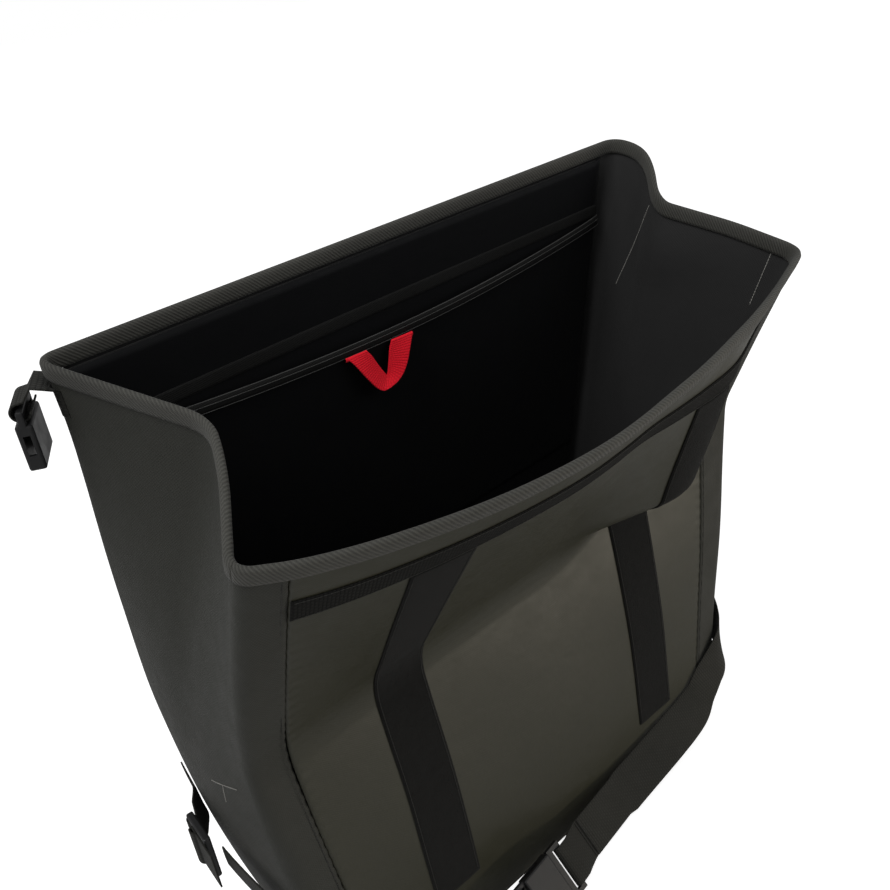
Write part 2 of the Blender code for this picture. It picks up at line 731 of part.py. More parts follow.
def front_strap(web, plastic):
    """A slack strap in two halves bows round the lower front, tilted face up, and closes with a buckle."""
    tilt, swing = math.radians(STRAP_TILT), math.radians(STRAP_SWING)
    ahead = np.array([math.cos(swing), math.sin(swing), 0.0])
    level = np.array([math.sin(swing), -math.cos(swing), 0.0])
    upright = np.array([0.0, 0.0, 1.0])
    up = math.cos(tilt) * upright - math.sin(tilt) * level
    out = math.sin(tilt) * upright + math.cos(tilt) * level
    radius = LOOP_RADIUS + WEBBING / 2
    flat = GAP + WEBBING / 2
    bar_gap = BUCKLE_BODY + 2 * (BUCKLE_BAR / 2 + BUCKLE_SLOT) + 0.006 + GAP
    face = float(wall(place_of(STRAP_CENTRE, STRAP_LOW), STRAP_LOW)[1])
    bar_a = np.array([STRAP_CENTRE, face - STRAP_BOW, STRAP_LOW]) - ahead * bar_gap / 2
    bar_b = bar_a + ahead * bar_gap
    female = female_buckle("centre_buckle_female", STRAP_WEBBING, plastic)
    place(female, bar_a, up, -ahead)
    male = male_buckle("centre_buckle_male", STRAP_WEBBING, plastic)
    place(male, bar_b, up, ahead)
    lock_end = side_lock(web, plastic)

    # Left half: from the lock, down round the corner, to the female half's bar
    lead = bar_a + out * radius - ahead * 0.05 * WIDTH
    points = [
        (lock_end + 0.12 * LOCK_LENGTH, LOCK_HEIGHT, 0.56 * LOCK_OFF, 0),
        (LOOP - 0.050 * WIDTH, 0.82 * LOCK_HEIGHT, 0.20 * STRAP_BOW, 0),
        (LOOP + 0.010 * WIDTH, 0.62 * LOCK_HEIGHT, 0.26 * STRAP_BOW, 0.1 * STRAP_TILT),
        (LOOP + 0.060 * WIDTH, 0.46 * LOCK_HEIGHT, 0.50 * STRAP_BOW, 0.4 * STRAP_TILT),
        (LOOP + 0.115 * WIDTH, 0.29 * LOCK_HEIGHT, 0.86 * STRAP_BOW, 0.8 * STRAP_TILT),
        (LOOP + place_of(lead[0] - 0.05 * WIDTH, STRAP_LOW), 1.08 * STRAP_LOW, 1.14 * STRAP_BOW, STRAP_TILT),
        (LOOP + place_of(lead[0], STRAP_LOW), STRAP_LOW, face - lead[1], STRAP_TILT),
    ]
    end = flat_rows(bar_loop(bar_a, ahead, out, -235), up, STRAP_WEBBING)
    webbing("left_strap", np.concatenate([wall_rows(points, STRAP_WEBBING), end]), web)

    # Right half, sewn to the right side panel, and the stitched end that holds the male half
    lapped = bar_b - out * (radius + WEBBING + 3 * GAP)
    reach = END_FOLD + RELEASE_RUN
    straight = np.array([lapped + ahead * d for d in (reach, 0.75 * reach, RELEASE_RUN + 0.25 * END_LAP)])
    last = straight[0] + ahead * 0.02 * WIDTH
    points = [
        (RIGHT_START + SEWN_PLACE * BASE_DEPTH, SEWN_HEIGHT, flat, 0),
        (RIGHT_START + 0.78 * SEWN_PLACE * BASE_DEPTH, 0.83 * SEWN_HEIGHT, flat + 2 * GAP, 0),
        (RIGHT_START + 0.42 * SEWN_PLACE * BASE_DEPTH, 0.58 * SEWN_HEIGHT, 0.14 * STRAP_BOW, 0),
        (RIGHT_START, 0.36 * SEWN_HEIGHT, 0.18 * STRAP_BOW, 0.3 * STRAP_TILT),
        (RIGHT_START - 0.07 * WIDTH, 0.23 * SEWN_HEIGHT, 0.24 * STRAP_BOW, 0.7 * STRAP_TILT),
        (RIGHT_START - 0.14 * WIDTH, 0.15 * SEWN_HEIGHT, 0.36 * STRAP_BOW, STRAP_TILT),
        (place_of(last[0], STRAP_LOW), last[2], face - last[1], STRAP_TILT),
    ]
    rows_made = [wall_rows(points, STRAP_WEBBING), flat_rows(straight, -up, STRAP_WEBBING)]
    webbing("right_strap", np.concatenate(rows_made), web)
    lay = [(END_FOLD, -radius), (0.78 * END_FOLD, -radius), (0.56 * END_FOLD, -radius)]
    lay += [(0.38 * END_FOLD, -0.28 * radius), (0.19 * END_FOLD, 0.75 * radius)]
    tail = np.array([bar_b + ahead * d + out * r for d, r in lay])
    loop = bar_loop(bar_b, ahead, out, 205, 70)
    webbing("right_strap_end", flat_rows(np.concatenate([tail, loop]), up, STRAP_WEBBING), web)


def main():
    cloth = material("coated_cloth", (0.045, 0.045, 0.032), 0.55)
    canvas = material("canvas", (0.038, 0.038, 0.030), 0.8)
    lining = material("lining", (0.012, 0.013, 0.016), 0.7)
    board = material("board", (0.02, 0.02, 0.02), 0.6)
    tape = material("binding_tape", (0.075, 0.075, 0.062), 0.8)
    hook = material("hook_tape", (0.018, 0.018, 0.018), 0.9)
    web = material("webbing", (0.025, 0.025, 0.022), 0.8)
    red = material("red_webbing", (0.70, 0.01, 0.03), 0.7)
    plastic = material("buckle_plastic", (0.015, 0.015, 0.015), 0.4)
    body_panels(cloth, canvas)
    boards(board, lining)
    rim_binding(tape)
    front_strips(hook, hook)
    pocket(lining, tape, tape, red)
    corner_clips(web, plastic)
    front_strap(web, plastic)


main()
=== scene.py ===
"""The looks of the open roll-top front bag: woven cloth, tapes, webbing and moulded buckles."""

import math

import bpy
import numpy as np
from mathutils import Matrix, Vector


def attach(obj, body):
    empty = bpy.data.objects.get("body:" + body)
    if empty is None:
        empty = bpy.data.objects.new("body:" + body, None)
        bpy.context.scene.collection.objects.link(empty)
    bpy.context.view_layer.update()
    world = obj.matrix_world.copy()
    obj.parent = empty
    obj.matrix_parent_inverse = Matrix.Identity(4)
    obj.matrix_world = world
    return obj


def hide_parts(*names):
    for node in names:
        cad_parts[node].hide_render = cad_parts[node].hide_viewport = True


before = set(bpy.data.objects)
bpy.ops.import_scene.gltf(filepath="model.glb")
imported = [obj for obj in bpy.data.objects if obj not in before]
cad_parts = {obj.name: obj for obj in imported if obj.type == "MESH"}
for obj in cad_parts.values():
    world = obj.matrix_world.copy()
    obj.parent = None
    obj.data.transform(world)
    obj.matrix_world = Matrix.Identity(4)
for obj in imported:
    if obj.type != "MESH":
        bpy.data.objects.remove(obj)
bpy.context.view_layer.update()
scene = bpy.context.scene


# The walls: four panels of heavy cloth sewn into an open box that narrows towards its base. Front and back
# are smooth coated cloth, the sides a matt canvas that wraps round the front corners and folds in at the
# rim. The thread draws the cloth into small puckers beside each seam.
RIM_WIDTH, BASE_WIDTH, LEAN = 0.600, 0.500, 0.028
RIM_DEPTH, DEPTH = 0.232, 0.240
HEIGHT, LEFT_RISE, RIGHT_RISE = 0.496, 0.058, 0.082
LEFT_SWELL, RIGHT_SWELL = 0.010, 0.002
CREASE_Z, CREASE_INSET, FOLD_RISE = 0.285, 0.056, 0.062
FOLD_FROM, FOLD_LONG, LAP_FROM, LAP_TO = 0.55, 0.35, 0.56, 0.91
RIM_BOW, LEFT_BOW, FRONT_BULGE = 0.062, 0.008, 0.007
TUCK_START, LEFT_TUCK, RIGHT_TUCK, RIGHT_FOLD = 0.150, 0.064, 0.034, 0.64
LEFT_BULGE, LEFT_HOLLOW, RIGHT_BULGE = 0.016, 0.007, 0.006
LOBE_OUT, LOBE_UP = 0.018, 0.008
CORNER, CORNER_CUT, CUT_REACH = 0.015, 0.008, 0.028
SOFTENING, SHARP_AT, SHARP_REACH, UNEVEN = 0.018, 0.52, 0.13, 0.0009
PUCKER, PUCKER_REACH, PUCKER_PITCH = 0.00035, 0.006, 0.011
EASE, EASE_REACH = 0.0009, 0.0014
BACK = DEPTH / 2
CHORD = BACK - RIM_DEPTH
# A place on the walls is a height and a length along their loop: front, right side, back, left side.
RIGHT_AT, BACK_AT, LEFT_AT = RIM_WIDTH, RIM_WIDTH + DEPTH, 2 * RIM_WIDTH + DEPTH
LOOP = 2 * (RIM_WIDTH + DEPTH)
CLOTH = 0.0018
GAP = 0.0003
WALL_FOOT = 0.0023
LEFT_SEAM, RIGHT_SEAM, BACK_SEAM = 0.036, 0.044, 0.018


def side_lines(z):
    """x of the left and right corners: straight tapers from base to rim that lean right and swell."""
    rise = z / HEIGHT
    swell = np.sin(np.pi * np.clip(rise, 0, 1))
    taper = (RIM_WIDTH - BASE_WIDTH) / 2
    left = -BASE_WIDTH / 2 + (LEAN - taper) * rise - LEFT_SWELL * swell
    right = BASE_WIDTH / 2 + (LEAN + taper) * rise + RIGHT_SWELL * swell
    return left, right


def front_line(share, z):
    """y of the front: a line from the base to the drawn-in crease and a second one on to the bowed rim.

    The crease climbs towards the right. Above it there, the cloth steps forwards at once and overhangs it.
    """
    arch = np.sin(np.pi * np.clip(share, 0, 1))
    rim = CHORD - RIM_BOW * arch - LEFT_BOW * np.sin(np.pi * np.clip(share / 0.55, 0, 1))
    crease = CHORD + CREASE_INSET * (0.72 + 0.28 * np.sqrt(arch))
    turn = np.clip((share - FOLD_FROM) / FOLD_LONG, 0, 1)
    fold = CREASE_Z + FOLD_RISE * turn**1.2
    lap = np.clip((share - LAP_FROM) / 0.16, 0, 1) * np.clip((LAP_TO - share) / 0.15, 0, 1)
    low = np.clip(z / fold, 0, 1)
    high = (z - fold) / (HEIGHT - fold)
    lower = -BACK + (crease + BACK) * low - FRONT_BULGE * np.sin(np.pi * low) * np.sqrt(arch)
    bulge = np.minimum(high * 5.5, 0.68 + 0.365 * (high - 0.124))
    return np.where(z <= fold, lower, crease + (rim - crease) * (high + lap * (bulge - high)))


# How far the rim hangs below its line or stands above it, by length along the loop.
SLACK_AT = (0.0, 0.08, 0.16, 0.26, 0.34, 0.42, 0.54, 0.60, 0.67, 0.75, 0.80, 1.58, LOOP)
SLACK = (-0.006, -0.009, -0.008, -0.005, 0.001, 0.008, 0.010, 0.015, 0.006, -0.010, 0.0, 0.0, -0.006)


def outline(along, z):
    """x, y, rim height and slack at a length along the loop: front, right side, back, left side.

    Towards the rim both sides fold inwards, the right one with a rounded lobe behind its fold, and the left
    front corner is cut across a little.
    """
    place = np.mod(along, LOOP)
    left, right = side_lines(z)
    swell = np.sin(np.pi * np.clip(z / HEIGHT, 0, 1))
    tuck = np.clip((z - TUCK_START) / (HEIGHT - TUCK_START), 0, 1) ** 1.5
    x = left + (right - left) * place / RIM_WIDTH
    y = front_line(place / RIM_WIDTH, z)
    rim = np.full_like(x, HEIGHT)
    part = (place - RIGHT_AT) / DEPTH
    on = (place >= RIGHT_AT) & (place < BACK_AT)
    behind = 1 - RIGHT_FOLD
    inwards = RIGHT_TUCK * tuck * np.minimum(part / RIGHT_FOLD, (1 - part) / behind)
    lobe = tuck**2 * np.sin(np.pi * np.clip((part - RIGHT_FOLD) / behind, 0, 1))
    out = RIGHT_BULGE * swell * np.sin(np.pi * part) - inwards + LOBE_OUT * lobe
    edge = front_line(np.ones_like(z), z)
    x, y = np.where(on, right + out, x), np.where(on, edge + (BACK - edge) * part, y)
    rim = np.where(on, HEIGHT + RIGHT_RISE * part + LOBE_UP * lobe, rim)
    part = (place - BACK_AT) / RIM_WIDTH
    on = (place >= BACK_AT) & (place < LEFT_AT)
    x, y = np.where(on, right + (left - right) * part, x), np.where(on, BACK, y)
    rim = np.where(on, HEIGHT + RIGHT_RISE + (LEFT_RISE - RIGHT_RISE) * part, rim)
    part = (place - LEFT_AT) / DEPTH
    on = place >= LEFT_AT
    inwards = LEFT_TUCK * tuck * np.minimum(part, 1 - part) / 0.5
    hollow = LEFT_HOLLOW * tuck * np.sin(np.pi * np.clip((part - 0.5) / 0.5, 0, 1))
    out = LEFT_BULGE * swell * np.sin(np.pi * part) - inwards - hollow
    edge = front_line(np.zeros_like(z), z)
    x, y = np.where(on, left - out, x), np.where(on, BACK + (edge - BACK) * part, y)
    rim = np.where(on, HEIGHT + LEFT_RISE * (1 - part), rim)
    above = np.clip((z - CREASE_Z) / (HEIGHT - CREASE_Z), 0, 1) ** 1.3
    cut = CORNER_CUT * above * np.exp(-((np.minimum(place, LOOP - place) / CUT_REACH) ** 2))
    x, y = x + cut, y + 0.6 * cut
    return x, y, rim, above * np.interp(place, SLACK_AT, SLACK)


def rounded(along, z):
    """The outline averaged over two corner radii of length and twice SOFTENING of height.

    The height averaged over shrinks towards the foot, and at the front's right, where the fold is sharp.
    """
    along, z = np.broadcast_arrays(np.asarray(along, float), np.asarray(z, float))
    sharp = np.exp(-(((along - SHARP_AT) / SHARP_REACH) ** 4))
    window = SOFTENING * np.clip(z / 0.08, 0.1, 1) * (1 - 0.6 * sharp)
    found = [
        outline(along + step, z + lift * window)
        for lift in (-1.0, -0.5, 0.0, 0.5, 1.0)
        for step in np.linspace(-1, 1, 11) * CORNER
    ]
    return tuple(np.mean(values, axis=0) for values in zip(*found))


def ripple(u, v):
    """A smooth uneven field between about -1 and 1: five crossed sine waves of unlike lengths."""
    waves = ((17, 5, 0.3), (-9, 23, 1.7), (31, -13, 4.1), (6, 41, 2.2), (-37, -29, 5.3))
    return sum(np.sin(p * u + q * v + r) for p, q, r in waves) / 3.2


def wall(along, z, out=0.0, worn=1.0):
    """A point of the outer face moved square to the outline by out, plus about 1 mm of unevenness."""
    along, z, out = np.broadcast_arrays(*(np.asarray(given, float) for given in (along, z, out)))
    x, y, _, lift = rounded(along, z)
    after, before = rounded(along + 0.001, z), rounded(along - 0.001, z)
    dx, dy = after[0] - before[0], after[1] - before[1]
    size = np.hypot(dx, dy)
    calm = np.clip(z / 0.03, 0, 1) * np.clip((HEIGHT - z) / 0.06, 0, 1)
    push = out + worn * UNEVEN * calm * ripple(along, z)
    return np.stack([x + push * dy / size, y - push * dx / size, z + lift], -1)


def rim_height(along):
    """The rounded outline's rim height, before its slack is added."""
    return rounded(along, np.full_like(np.asarray(along, float), HEIGHT))[2]


def place_of(x, z):
    """Length along the front at which x lies at a height: its share of the width there, times the rim's."""
    left, right = side_lines(z)
    return RIM_WIDTH * (x - left) / (right - left)


def grid_mesh(name, points, metres, closed=False):
    """A mesh of quads over a grid of points, with the grid's own coordinates in metres as its UV map."""
    count, width = points.shape[:2]
    index = np.arange(count * width).reshape(count, width)
    if closed:
        index = np.concatenate([index, index[:, :1]], 1)
    faces = np.stack([index[:-1, :-1], index[:-1, 1:], index[1:, 1:], index[1:, :-1]], -1).reshape(-1, 4)
    mesh = bpy.data.meshes.new(name)
    mesh.from_pydata(points.reshape(-1, 3).tolist(), [], faces.tolist())
    loops = np.empty(len(mesh.loops), np.int32)
    mesh.loops.foreach_get("vertex_index", loops)
    chart = mesh.uv_layers.new(name="metres")
    chart.data.foreach_set("uv", metres.reshape(-1, 2)[loops].astype(np.float32).ravel())
    mesh.shade_smooth()
    made = bpy.data.objects.new(name, mesh)
    scene.collection.objects.link(made)
    return made


def thicken(piece, thickness, offset=-1.0, rim_round=0.0):
    """Gives a surface its thickness, on the side away from its normals unless offset says otherwise."""
    solid = piece.modifiers.new("thickness", "SOLIDIFY")
    solid.thickness = thickness
    solid.offset = offset
    solid.use_even_offset = True
    if rim_round:
        bevel = piece.modifiers.new("edge", "BEVEL")
        bevel.width = rim_round
        bevel.segments = 2
        bevel.limit_method = "ANGLE"
        bevel.angle_limit = math.radians(50)
    return piece


class Nodes:
    """Short calls that add and join shader nodes."""

    def __init__(self, name):
        self.material = bpy.data.materials.new(name)
        self.material.use_nodes = True
        self.tree = self.material.node_tree
        self.shader = self.tree.nodes["Principled BSDF"]

    def add(self, kind, **settings):
        node = self.tree.nodes.new(kind)
        for key, value in settings.items():
            setattr(node, key, value)
        return node

    def put(self, socket, value):
        if hasattr(value, "links"):
            self.tree.links.new(value, socket)
        else:
            socket.default_value = value

    def math(self, operation, a, b=0.0, c=0.0):
        node = self.add("ShaderNodeMath", operation=operation)
        for socket, value in zip(node.inputs, (a, b, c)):
            self.put(socket, value)
        return node.outputs[0]

    def noise(self, place, scale, detail=3.0, rough=0.5):
        node = self.add("ShaderNodeTexNoise")
        self.put(node.inputs["Vector"], place)
        self.put(node.inputs["Scale"], scale)
        self.put(node.inputs["Detail"], detail)
        self.put(node.inputs["Roughness"], rough)
        return node.outputs["Fac"]

    def mix(self, share, a, b):
        node = self.add("ShaderNodeMix", data_type="RGBA")
        self.put(node.inputs["Factor"], share)
        for socket, value in zip(node.inputs[6:8], (a, b)):
            self.put(socket, (*value, 1) if isinstance(value, tuple) else value)
        return node.outputs[2]

    def spread(self, value, low, high, to_low=0.0, to_high=1.0):
        node = self.add("ShaderNodeMapRange")
        for socket, given in zip(node.inputs, (value, low, high, to_low, to_high)):
            self.put(socket, given)
        return node.outputs[0]

    def bump(self, height, distance, strength=1.0, before=None):
        node = self.add("ShaderNodeBump")
        self.put(node.inputs["Height"], height)
        self.put(node.inputs["Distance"], distance)
        self.put(node.inputs["Strength"], strength)
        if before is not None:
            self.put(node.inputs["Normal"], before)
        return node.outputs[0]


def woven(name, colour, pitch, weave="plain", rough=0.7, depth=0.0002, sheen=0.03, wear=0.25, shine=0.2):
    """Threads from sine waves of the UV map in metres: plain weave, diagonal twill, or cross ribs."""
    net = Nodes(name)
    chart = net.add("ShaderNodeUVMap", uv_map="metres").outputs[0]
    split = net.add("ShaderNodeSeparateXYZ")
    net.put(split.inputs[0], chart)
    u, v = split.outputs[0], split.outputs[1]
    place = net.add("ShaderNodeTexCoord").outputs["Object"]
    uneven = net.noise(place, 55.0, 4.0, 0.6)
    cloudy = net.noise(place, 7.0, 3.0, 0.55)
    turn = math.pi / pitch
    if weave == "plain":
        warp = net.math("SINE", net.math("MULTIPLY", u, turn))
        weft = net.math("SINE", net.math("MULTIPLY", v, turn))
        threads = net.math("MULTIPLY_ADD", net.math("MULTIPLY", warp, weft), 0.5, 0.5)
    elif weave == "twill":
        diagonal = net.math("SINE", net.math("MULTIPLY", net.math("ADD", u, v), 2 * turn))
        across = net.math("SINE", net.math("MULTIPLY", net.math("SUBTRACT", u, v), 5 * turn))
        threads = net.math("MULTIPLY_ADD", net.math("MULTIPLY_ADD", across, 0.25, diagonal), 0.4, 0.5)
    else:
        rib = net.math("ABSOLUTE", net.math("SINE", net.math("MULTIPLY", u, turn)))
        side = net.math("MULTIPLY", net.math("FLOOR", net.math("MULTIPLY", u, 1 / pitch)), math.pi)
        pick = net.math("SINE", net.math("ADD", net.math("MULTIPLY", v, 1.6 * turn), side))
        filled = net.math("MULTIPLY_ADD", pick, 0.22, 0.78)
        threads = net.math("MULTIPLY", net.math("POWER", rib, 0.6), filled)
    shade = net.spread(net.math("MULTIPLY_ADD", cloudy, 0.6, net.math("MULTIPLY", threads, 0.4)), 0.2, 0.75)
    dark = tuple(c * (1 - wear) for c in colour)
    light = tuple(min(1.0, c * (1 + wear)) for c in colour)
    net.put(net.shader.inputs["Base Color"], net.mix(shade, dark, light))
    net.put(net.shader.inputs["Roughness"], net.spread(uneven, 0.3, 0.7, rough - 0.06, rough + 0.06))
    net.put(net.shader.inputs["Specular IOR Level"], shine)
    net.put(net.shader.inputs["Sheen Weight"], sheen)
    net.put(net.shader.inputs["Sheen Roughness"], 0.5)
    soft = net.bump(uneven, 0.0012, 0.35)
    net.put(net.shader.inputs["Normal"], net.bump(threads, depth, 0.8, soft))
    return net.material


OLIVE, DULL_OLIVE = (0.0234, 0.0229, 0.0128), (0.0225, 0.0230, 0.0185)
# The side panels' inner face is a lighter grey than the inside of front and back: partly the canvas's own
# grey inner coat, partly painted light for the light from above that falls on the right side's inner face.
DARK_GREY, PAINTED_LIT_GREY = (0.0100, 0.0101, 0.0104), (0.027, 0.027, 0.027)
coated = woven("coated_cloth", OLIVE, 0.0010, rough=0.44, depth=0.00006, sheen=0.0, wear=0.10, shine=0.42)
canvas = woven("canvas", DULL_OLIVE, 0.0013, rough=0.66, depth=0.00022, wear=0.22, shine=0.30)
inside = woven("inside_cloth", DARK_GREY, 0.0013, rough=0.62, depth=0.00018, wear=0.20, shine=0.15)
inside_sides_painted_lit = woven("inside_side_cloth_painted_lit", PAINTED_LIT_GREY, 0.0013, rough=0.66, depth=0.00018, wear=0.20, shine=0.22)


def wall_panel(name, start, end, look, within, columns, rows=220, worn=1.0):
    """One panel from the base up to its own rim, its edges eased into the seams and puckered beside them."""
    along = np.linspace(start + GAP / 2, end - GAP / 2, columns)[None, :]
    level = np.linspace(0, 1, rows)[:, None]
    z = WALL_FOOT + (rim_height(along) - WALL_FOOT) * level
    beside = np.minimum(along - start, end - along)
    pucker = PUCKER * np.exp(-beside / PUCKER_REACH) * np.sin(z * 2 * np.pi / PUCKER_PITCH + along * 9)
    ease = -EASE * np.exp(-beside / EASE_REACH)
    points = wall(along, z, pucker + ease, worn)
    metres = np.stack([np.broadcast_to(along, z.shape), z], -1)
    piece = grid_mesh(name + "_cloth", points, metres)
    piece.data.materials.append(look)
    piece.data.materials.append(within)
    thicken(piece, CLOTH).modifiers["thickness"].material_offset = 1
    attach(piece, "bag")
    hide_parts(name)
    return piece


front_end, back_start, back_end = RIM_WIDTH - RIGHT_SEAM, BACK_AT + BACK_SEAM, LEFT_AT - BACK_SEAM
wall_panel("front_panel", LEFT_SEAM, front_end, coated, inside, 170)
wall_panel("right_side_panel", front_end, back_start, canvas, inside_sides_painted_lit, 130)
wall_panel("back_panel", back_start, back_end, coated, inside, 120, 150, 0.0)
wall_panel("left_side_panel", back_end, LOOP + LEFT_SEAM, canvas, inside_sides_painted_lit, 130)


# The base: the same canvas as the sides, cut to the walls' foot and sewn to them all round, under a stiff
# board. Its surface is the walls' foot drawn in towards the middle by rings.
BASE_CLOTH, BASE_TOP = 0.0019, 0.0020
foot_along = np.linspace(0, LOOP, 241)[:-1]
foot = wall(foot_along, np.zeros(240), -0.0002, 0.0)
share = np.linspace(1, 0.02, 24)[:, None, None]
base_points = foot[None] * share
base_points[..., 2] = BASE_TOP
base_piece = grid_mesh("base_cloth", base_points, base_points[..., :2], closed=True)
base_piece.data.materials.append(canvas)
thicken(base_piece, BASE_CLOTH)
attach(base_piece, "bag")
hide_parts("base_panel")


# The rim's tape: a twill tape folded over the raw edges of all four panels and sewn through both faces. The
# sewing leaves its lower edges a little uneven.
TAPE_OFF, TAPE_THICK = 0.0010, 0.0008
FADED = (0.042, 0.0415, 0.0360)
tape_cloth = woven("binding_tape", FADED, 0.0032, "twill", depth=0.0005, sheen=0.08, wear=0.55, shine=0.3)


def folded_tape(name, along, node, look):
    """A U of eleven points carried round the rim: up the outer face, over the edge, down the inner one."""
    top = rim_height(along)
    outer, inner, middle = GAP + TAPE_OFF, -(CLOTH + GAP + TAPE_OFF), -CLOTH / 2
    section = (
        (outer, 0.0110),
        (outer + 0.0002, 0.0085),
        (outer + 0.0003, 0.0050),
        (outer + 0.0001, 0.0010),
        (outer - 0.0007, -0.0006),
        (middle, -0.0014),
        (inner + 0.0007, -0.0006),
        (inner - 0.0001, 0.0010),
        (inner - 0.0003, 0.0050),
        (inner - 0.0002, 0.0085),
        (inner, 0.0110),
    )
    waver = 0.0005 * np.sin(along * 71) + 0.0003 * np.sin(along * 163 + 1)
    rows_made, lengths = [], []
    run = 0.0
    last = section[0]
    for out, drop in section:
        flat = wall(along, np.minimum(top - drop, top), out, 0.0)
        flat[:, 2] -= min(drop, 0.0) + drop * 12 * waver
        rows_made.append(flat)
        run += math.hypot(out - last[0], drop - last[1])
        last = (out, drop)
        lengths.append(np.full_like(along, run))
    points = np.stack(rows_made, 1)
    metres = np.stack([np.broadcast_to(along[:, None], points.shape[:2]), np.stack(lengths, 1)], -1)
    piece = grid_mesh(name, points, metres)
    piece.data.materials.append(look)
    thicken(piece, TAPE_THICK)
    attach(piece, "bag")
    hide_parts(node)


folded_tape("rim_tape", np.linspace(0, LOOP, 601), "rim_binding", tape_cloth)


# The hook strip runs across the front below the rim, a stiff tape of tiny moulded hooks in ribs. Two loop
# strips run down the front below it, matted fuzzy loops on a flat tape. All are matt black and sewn on along
# their edges.
HOOK_DROP, HOOK_HEIGHT = 0.034, 0.019
STRIP_HALF, STRIP_FOOT, STRIP_WAVER = 0.025, 0.054, 0.0004
STRIP_OUT, STRIP_THICK = 0.0013, 0.0011
STRIPS = (("left", -0.132), ("right", 0.149))


def fuzzy(name, colour, scale, depth):
    """Matted loops: two scales of noise for height, the colour near black in the hollows as painted shade.
    """
    net = Nodes(name)
    place = net.add("ShaderNodeTexCoord").outputs["Object"]
    tufts = net.noise(place, scale, 5.0, 0.7)
    clumps = net.noise(place, scale / 6, 3.0, 0.6)
    height = net.math("MULTIPLY_ADD", clumps, 0.5, tufts)
    # Painted shade: where the loops' height is low, the colour darkens towards near black.
    hollow = tuple(c * 0.45 for c in colour)
    net.put(net.shader.inputs["Base Color"], net.mix(net.spread(height, 0.45, 1.0), hollow, colour))
    net.put(net.shader.inputs["Roughness"], 0.95)
    net.put(net.shader.inputs["Specular IOR Level"], 0.12)
    net.put(net.shader.inputs["Sheen Weight"], 0.04)
    net.put(net.shader.inputs["Normal"], net.bump(height, depth, 0.9))
    return net.material


loop_pile = fuzzy("loop_pile", (0.0105, 0.0104, 0.0098), 900.0, 0.0011)
MATT_BLACK = (0.0085, 0.0085, 0.0080)
hook_ribs = woven("hook_ribs", MATT_BLACK, 0.0026, "web", 0.85, 0.0007, sheen=0.01, wear=0.45, shine=0.10)


def flat_strip(name, along, z, node, look):
    """A strip laid on the front: its middle stands half a millimetre clear, its edges are pressed down."""
    count, width = z.shape
    across = np.linspace(-1, 1, width)[None, :] if count > width else np.linspace(-1, 1, count)[:, None]
    lift = GAP + STRIP_OUT - 0.0006 * np.abs(across) ** 8
    points = wall(along, z, lift)
    metres = np.stack([np.broadcast_to(along, z.shape), z], -1)
    piece = grid_mesh(name, points, metres)
    piece.data.materials.append(look)
    thicken(piece, STRIP_THICK)
    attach(piece, "bag")
    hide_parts(node)


hook_start, hook_end = LEFT_SEAM + 0.0015, RIM_WIDTH - RIGHT_SEAM - 0.001
hook_along = np.broadcast_to(np.linspace(hook_start, hook_end, 260)[None, :], (9, 260))
hook_z = HEIGHT - HOOK_DROP - HOOK_HEIGHT * np.linspace(1, 0, 9)[:, None] + np.zeros((9, 260))
flat_strip("hook_strip_tape", hook_along, hook_z, "hook_strip", hook_ribs)
strip_top = HEIGHT - HOOK_DROP - HOOK_HEIGHT - GAP
for side, middle in STRIPS:
    strip_z = np.linspace(STRIP_FOOT, strip_top, 170)[:, None] + np.zeros((170, 21))
    uneven_edge = STRIP_WAVER * np.sin(strip_z * 45 + middle * 50)
    strip_x = middle + np.linspace(-STRIP_HALF, STRIP_HALF, 21)[None, :] + uneven_edge
    strip_along = place_of(strip_x, strip_z)
    flat_strip(side + "_loop_tape", strip_along, strip_z, side + "_loop_strip", loop_pile)


# The inner pocket: thin lining cloth sewn to the stiff back wall, which has the same lining. Its mouth is
# bound with tape and sags forwards between its ends, and a second tape is sewn to the wall above it.
BOARD, BOARD_LINING, LIP_OUT = 0.0025, 0.0010, 0.0025
POCKET_DROP, POCKET_HEIGHT, POCKET_SAG, POCKET_BELLY = 0.0705, 0.260, 0.011, 0.016
POCKET_FROM_LEFT, POCKET_FROM_RIGHT, POCKET_SLACK = 0.024, 0.019, 0.0010
HEM_DROP, HEM_HEIGHT = 0.070, 0.012
LINING_FOOT, LINING_INSET, LINING_DROP = 0.0056, 0.013, 0.0135


def back_rim(x):
    """Height of the back wall's rim: a straight line between its two corners."""
    left, right = side_lines(HEIGHT)
    return HEIGHT + LEFT_RISE + (RIGHT_RISE - LEFT_RISE) * (x - left) / (right - left)


LINING_BLACK, TAPE_BLACK = (0.0032, 0.0034, 0.0040), (0.0095, 0.0095, 0.0092)
lining = woven("lining_cloth", LINING_BLACK, 0.0009, rough=0.60, depth=0.00010, wear=0.2, shine=0.10)
pocket_tape = woven("pocket_tape", TAPE_BLACK, 0.0018, "twill", 0.75, 0.0003, 0.02, wear=0.4, shine=0.12)
wall_face = BACK - CLOTH - BOARD - BOARD_LINING - 3 * GAP


def pocket_place(share, level):
    """A panel whose mouth sags down and forwards in a sine arch between its ends, and whose foot is flat."""
    mouth_left, mouth_right = side_lines(HEIGHT)
    foot_left, foot_right = side_lines(HEIGHT - POCKET_HEIGHT)
    start = foot_left + (mouth_left - foot_left) * level + POCKET_FROM_LEFT
    end = foot_right + (mouth_right - foot_right) * level - POCKET_FROM_RIGHT
    x = start + (end - start) * share
    arch = np.sin(np.pi * np.clip(share, 0, 1))
    z = back_rim(x) - POCKET_DROP - POCKET_HEIGHT * (1 - level) - POCKET_SAG * arch * level
    y = wall_face - GAP - POCKET_BELLY * arch**0.7 * level**2.2
    return x, y, z


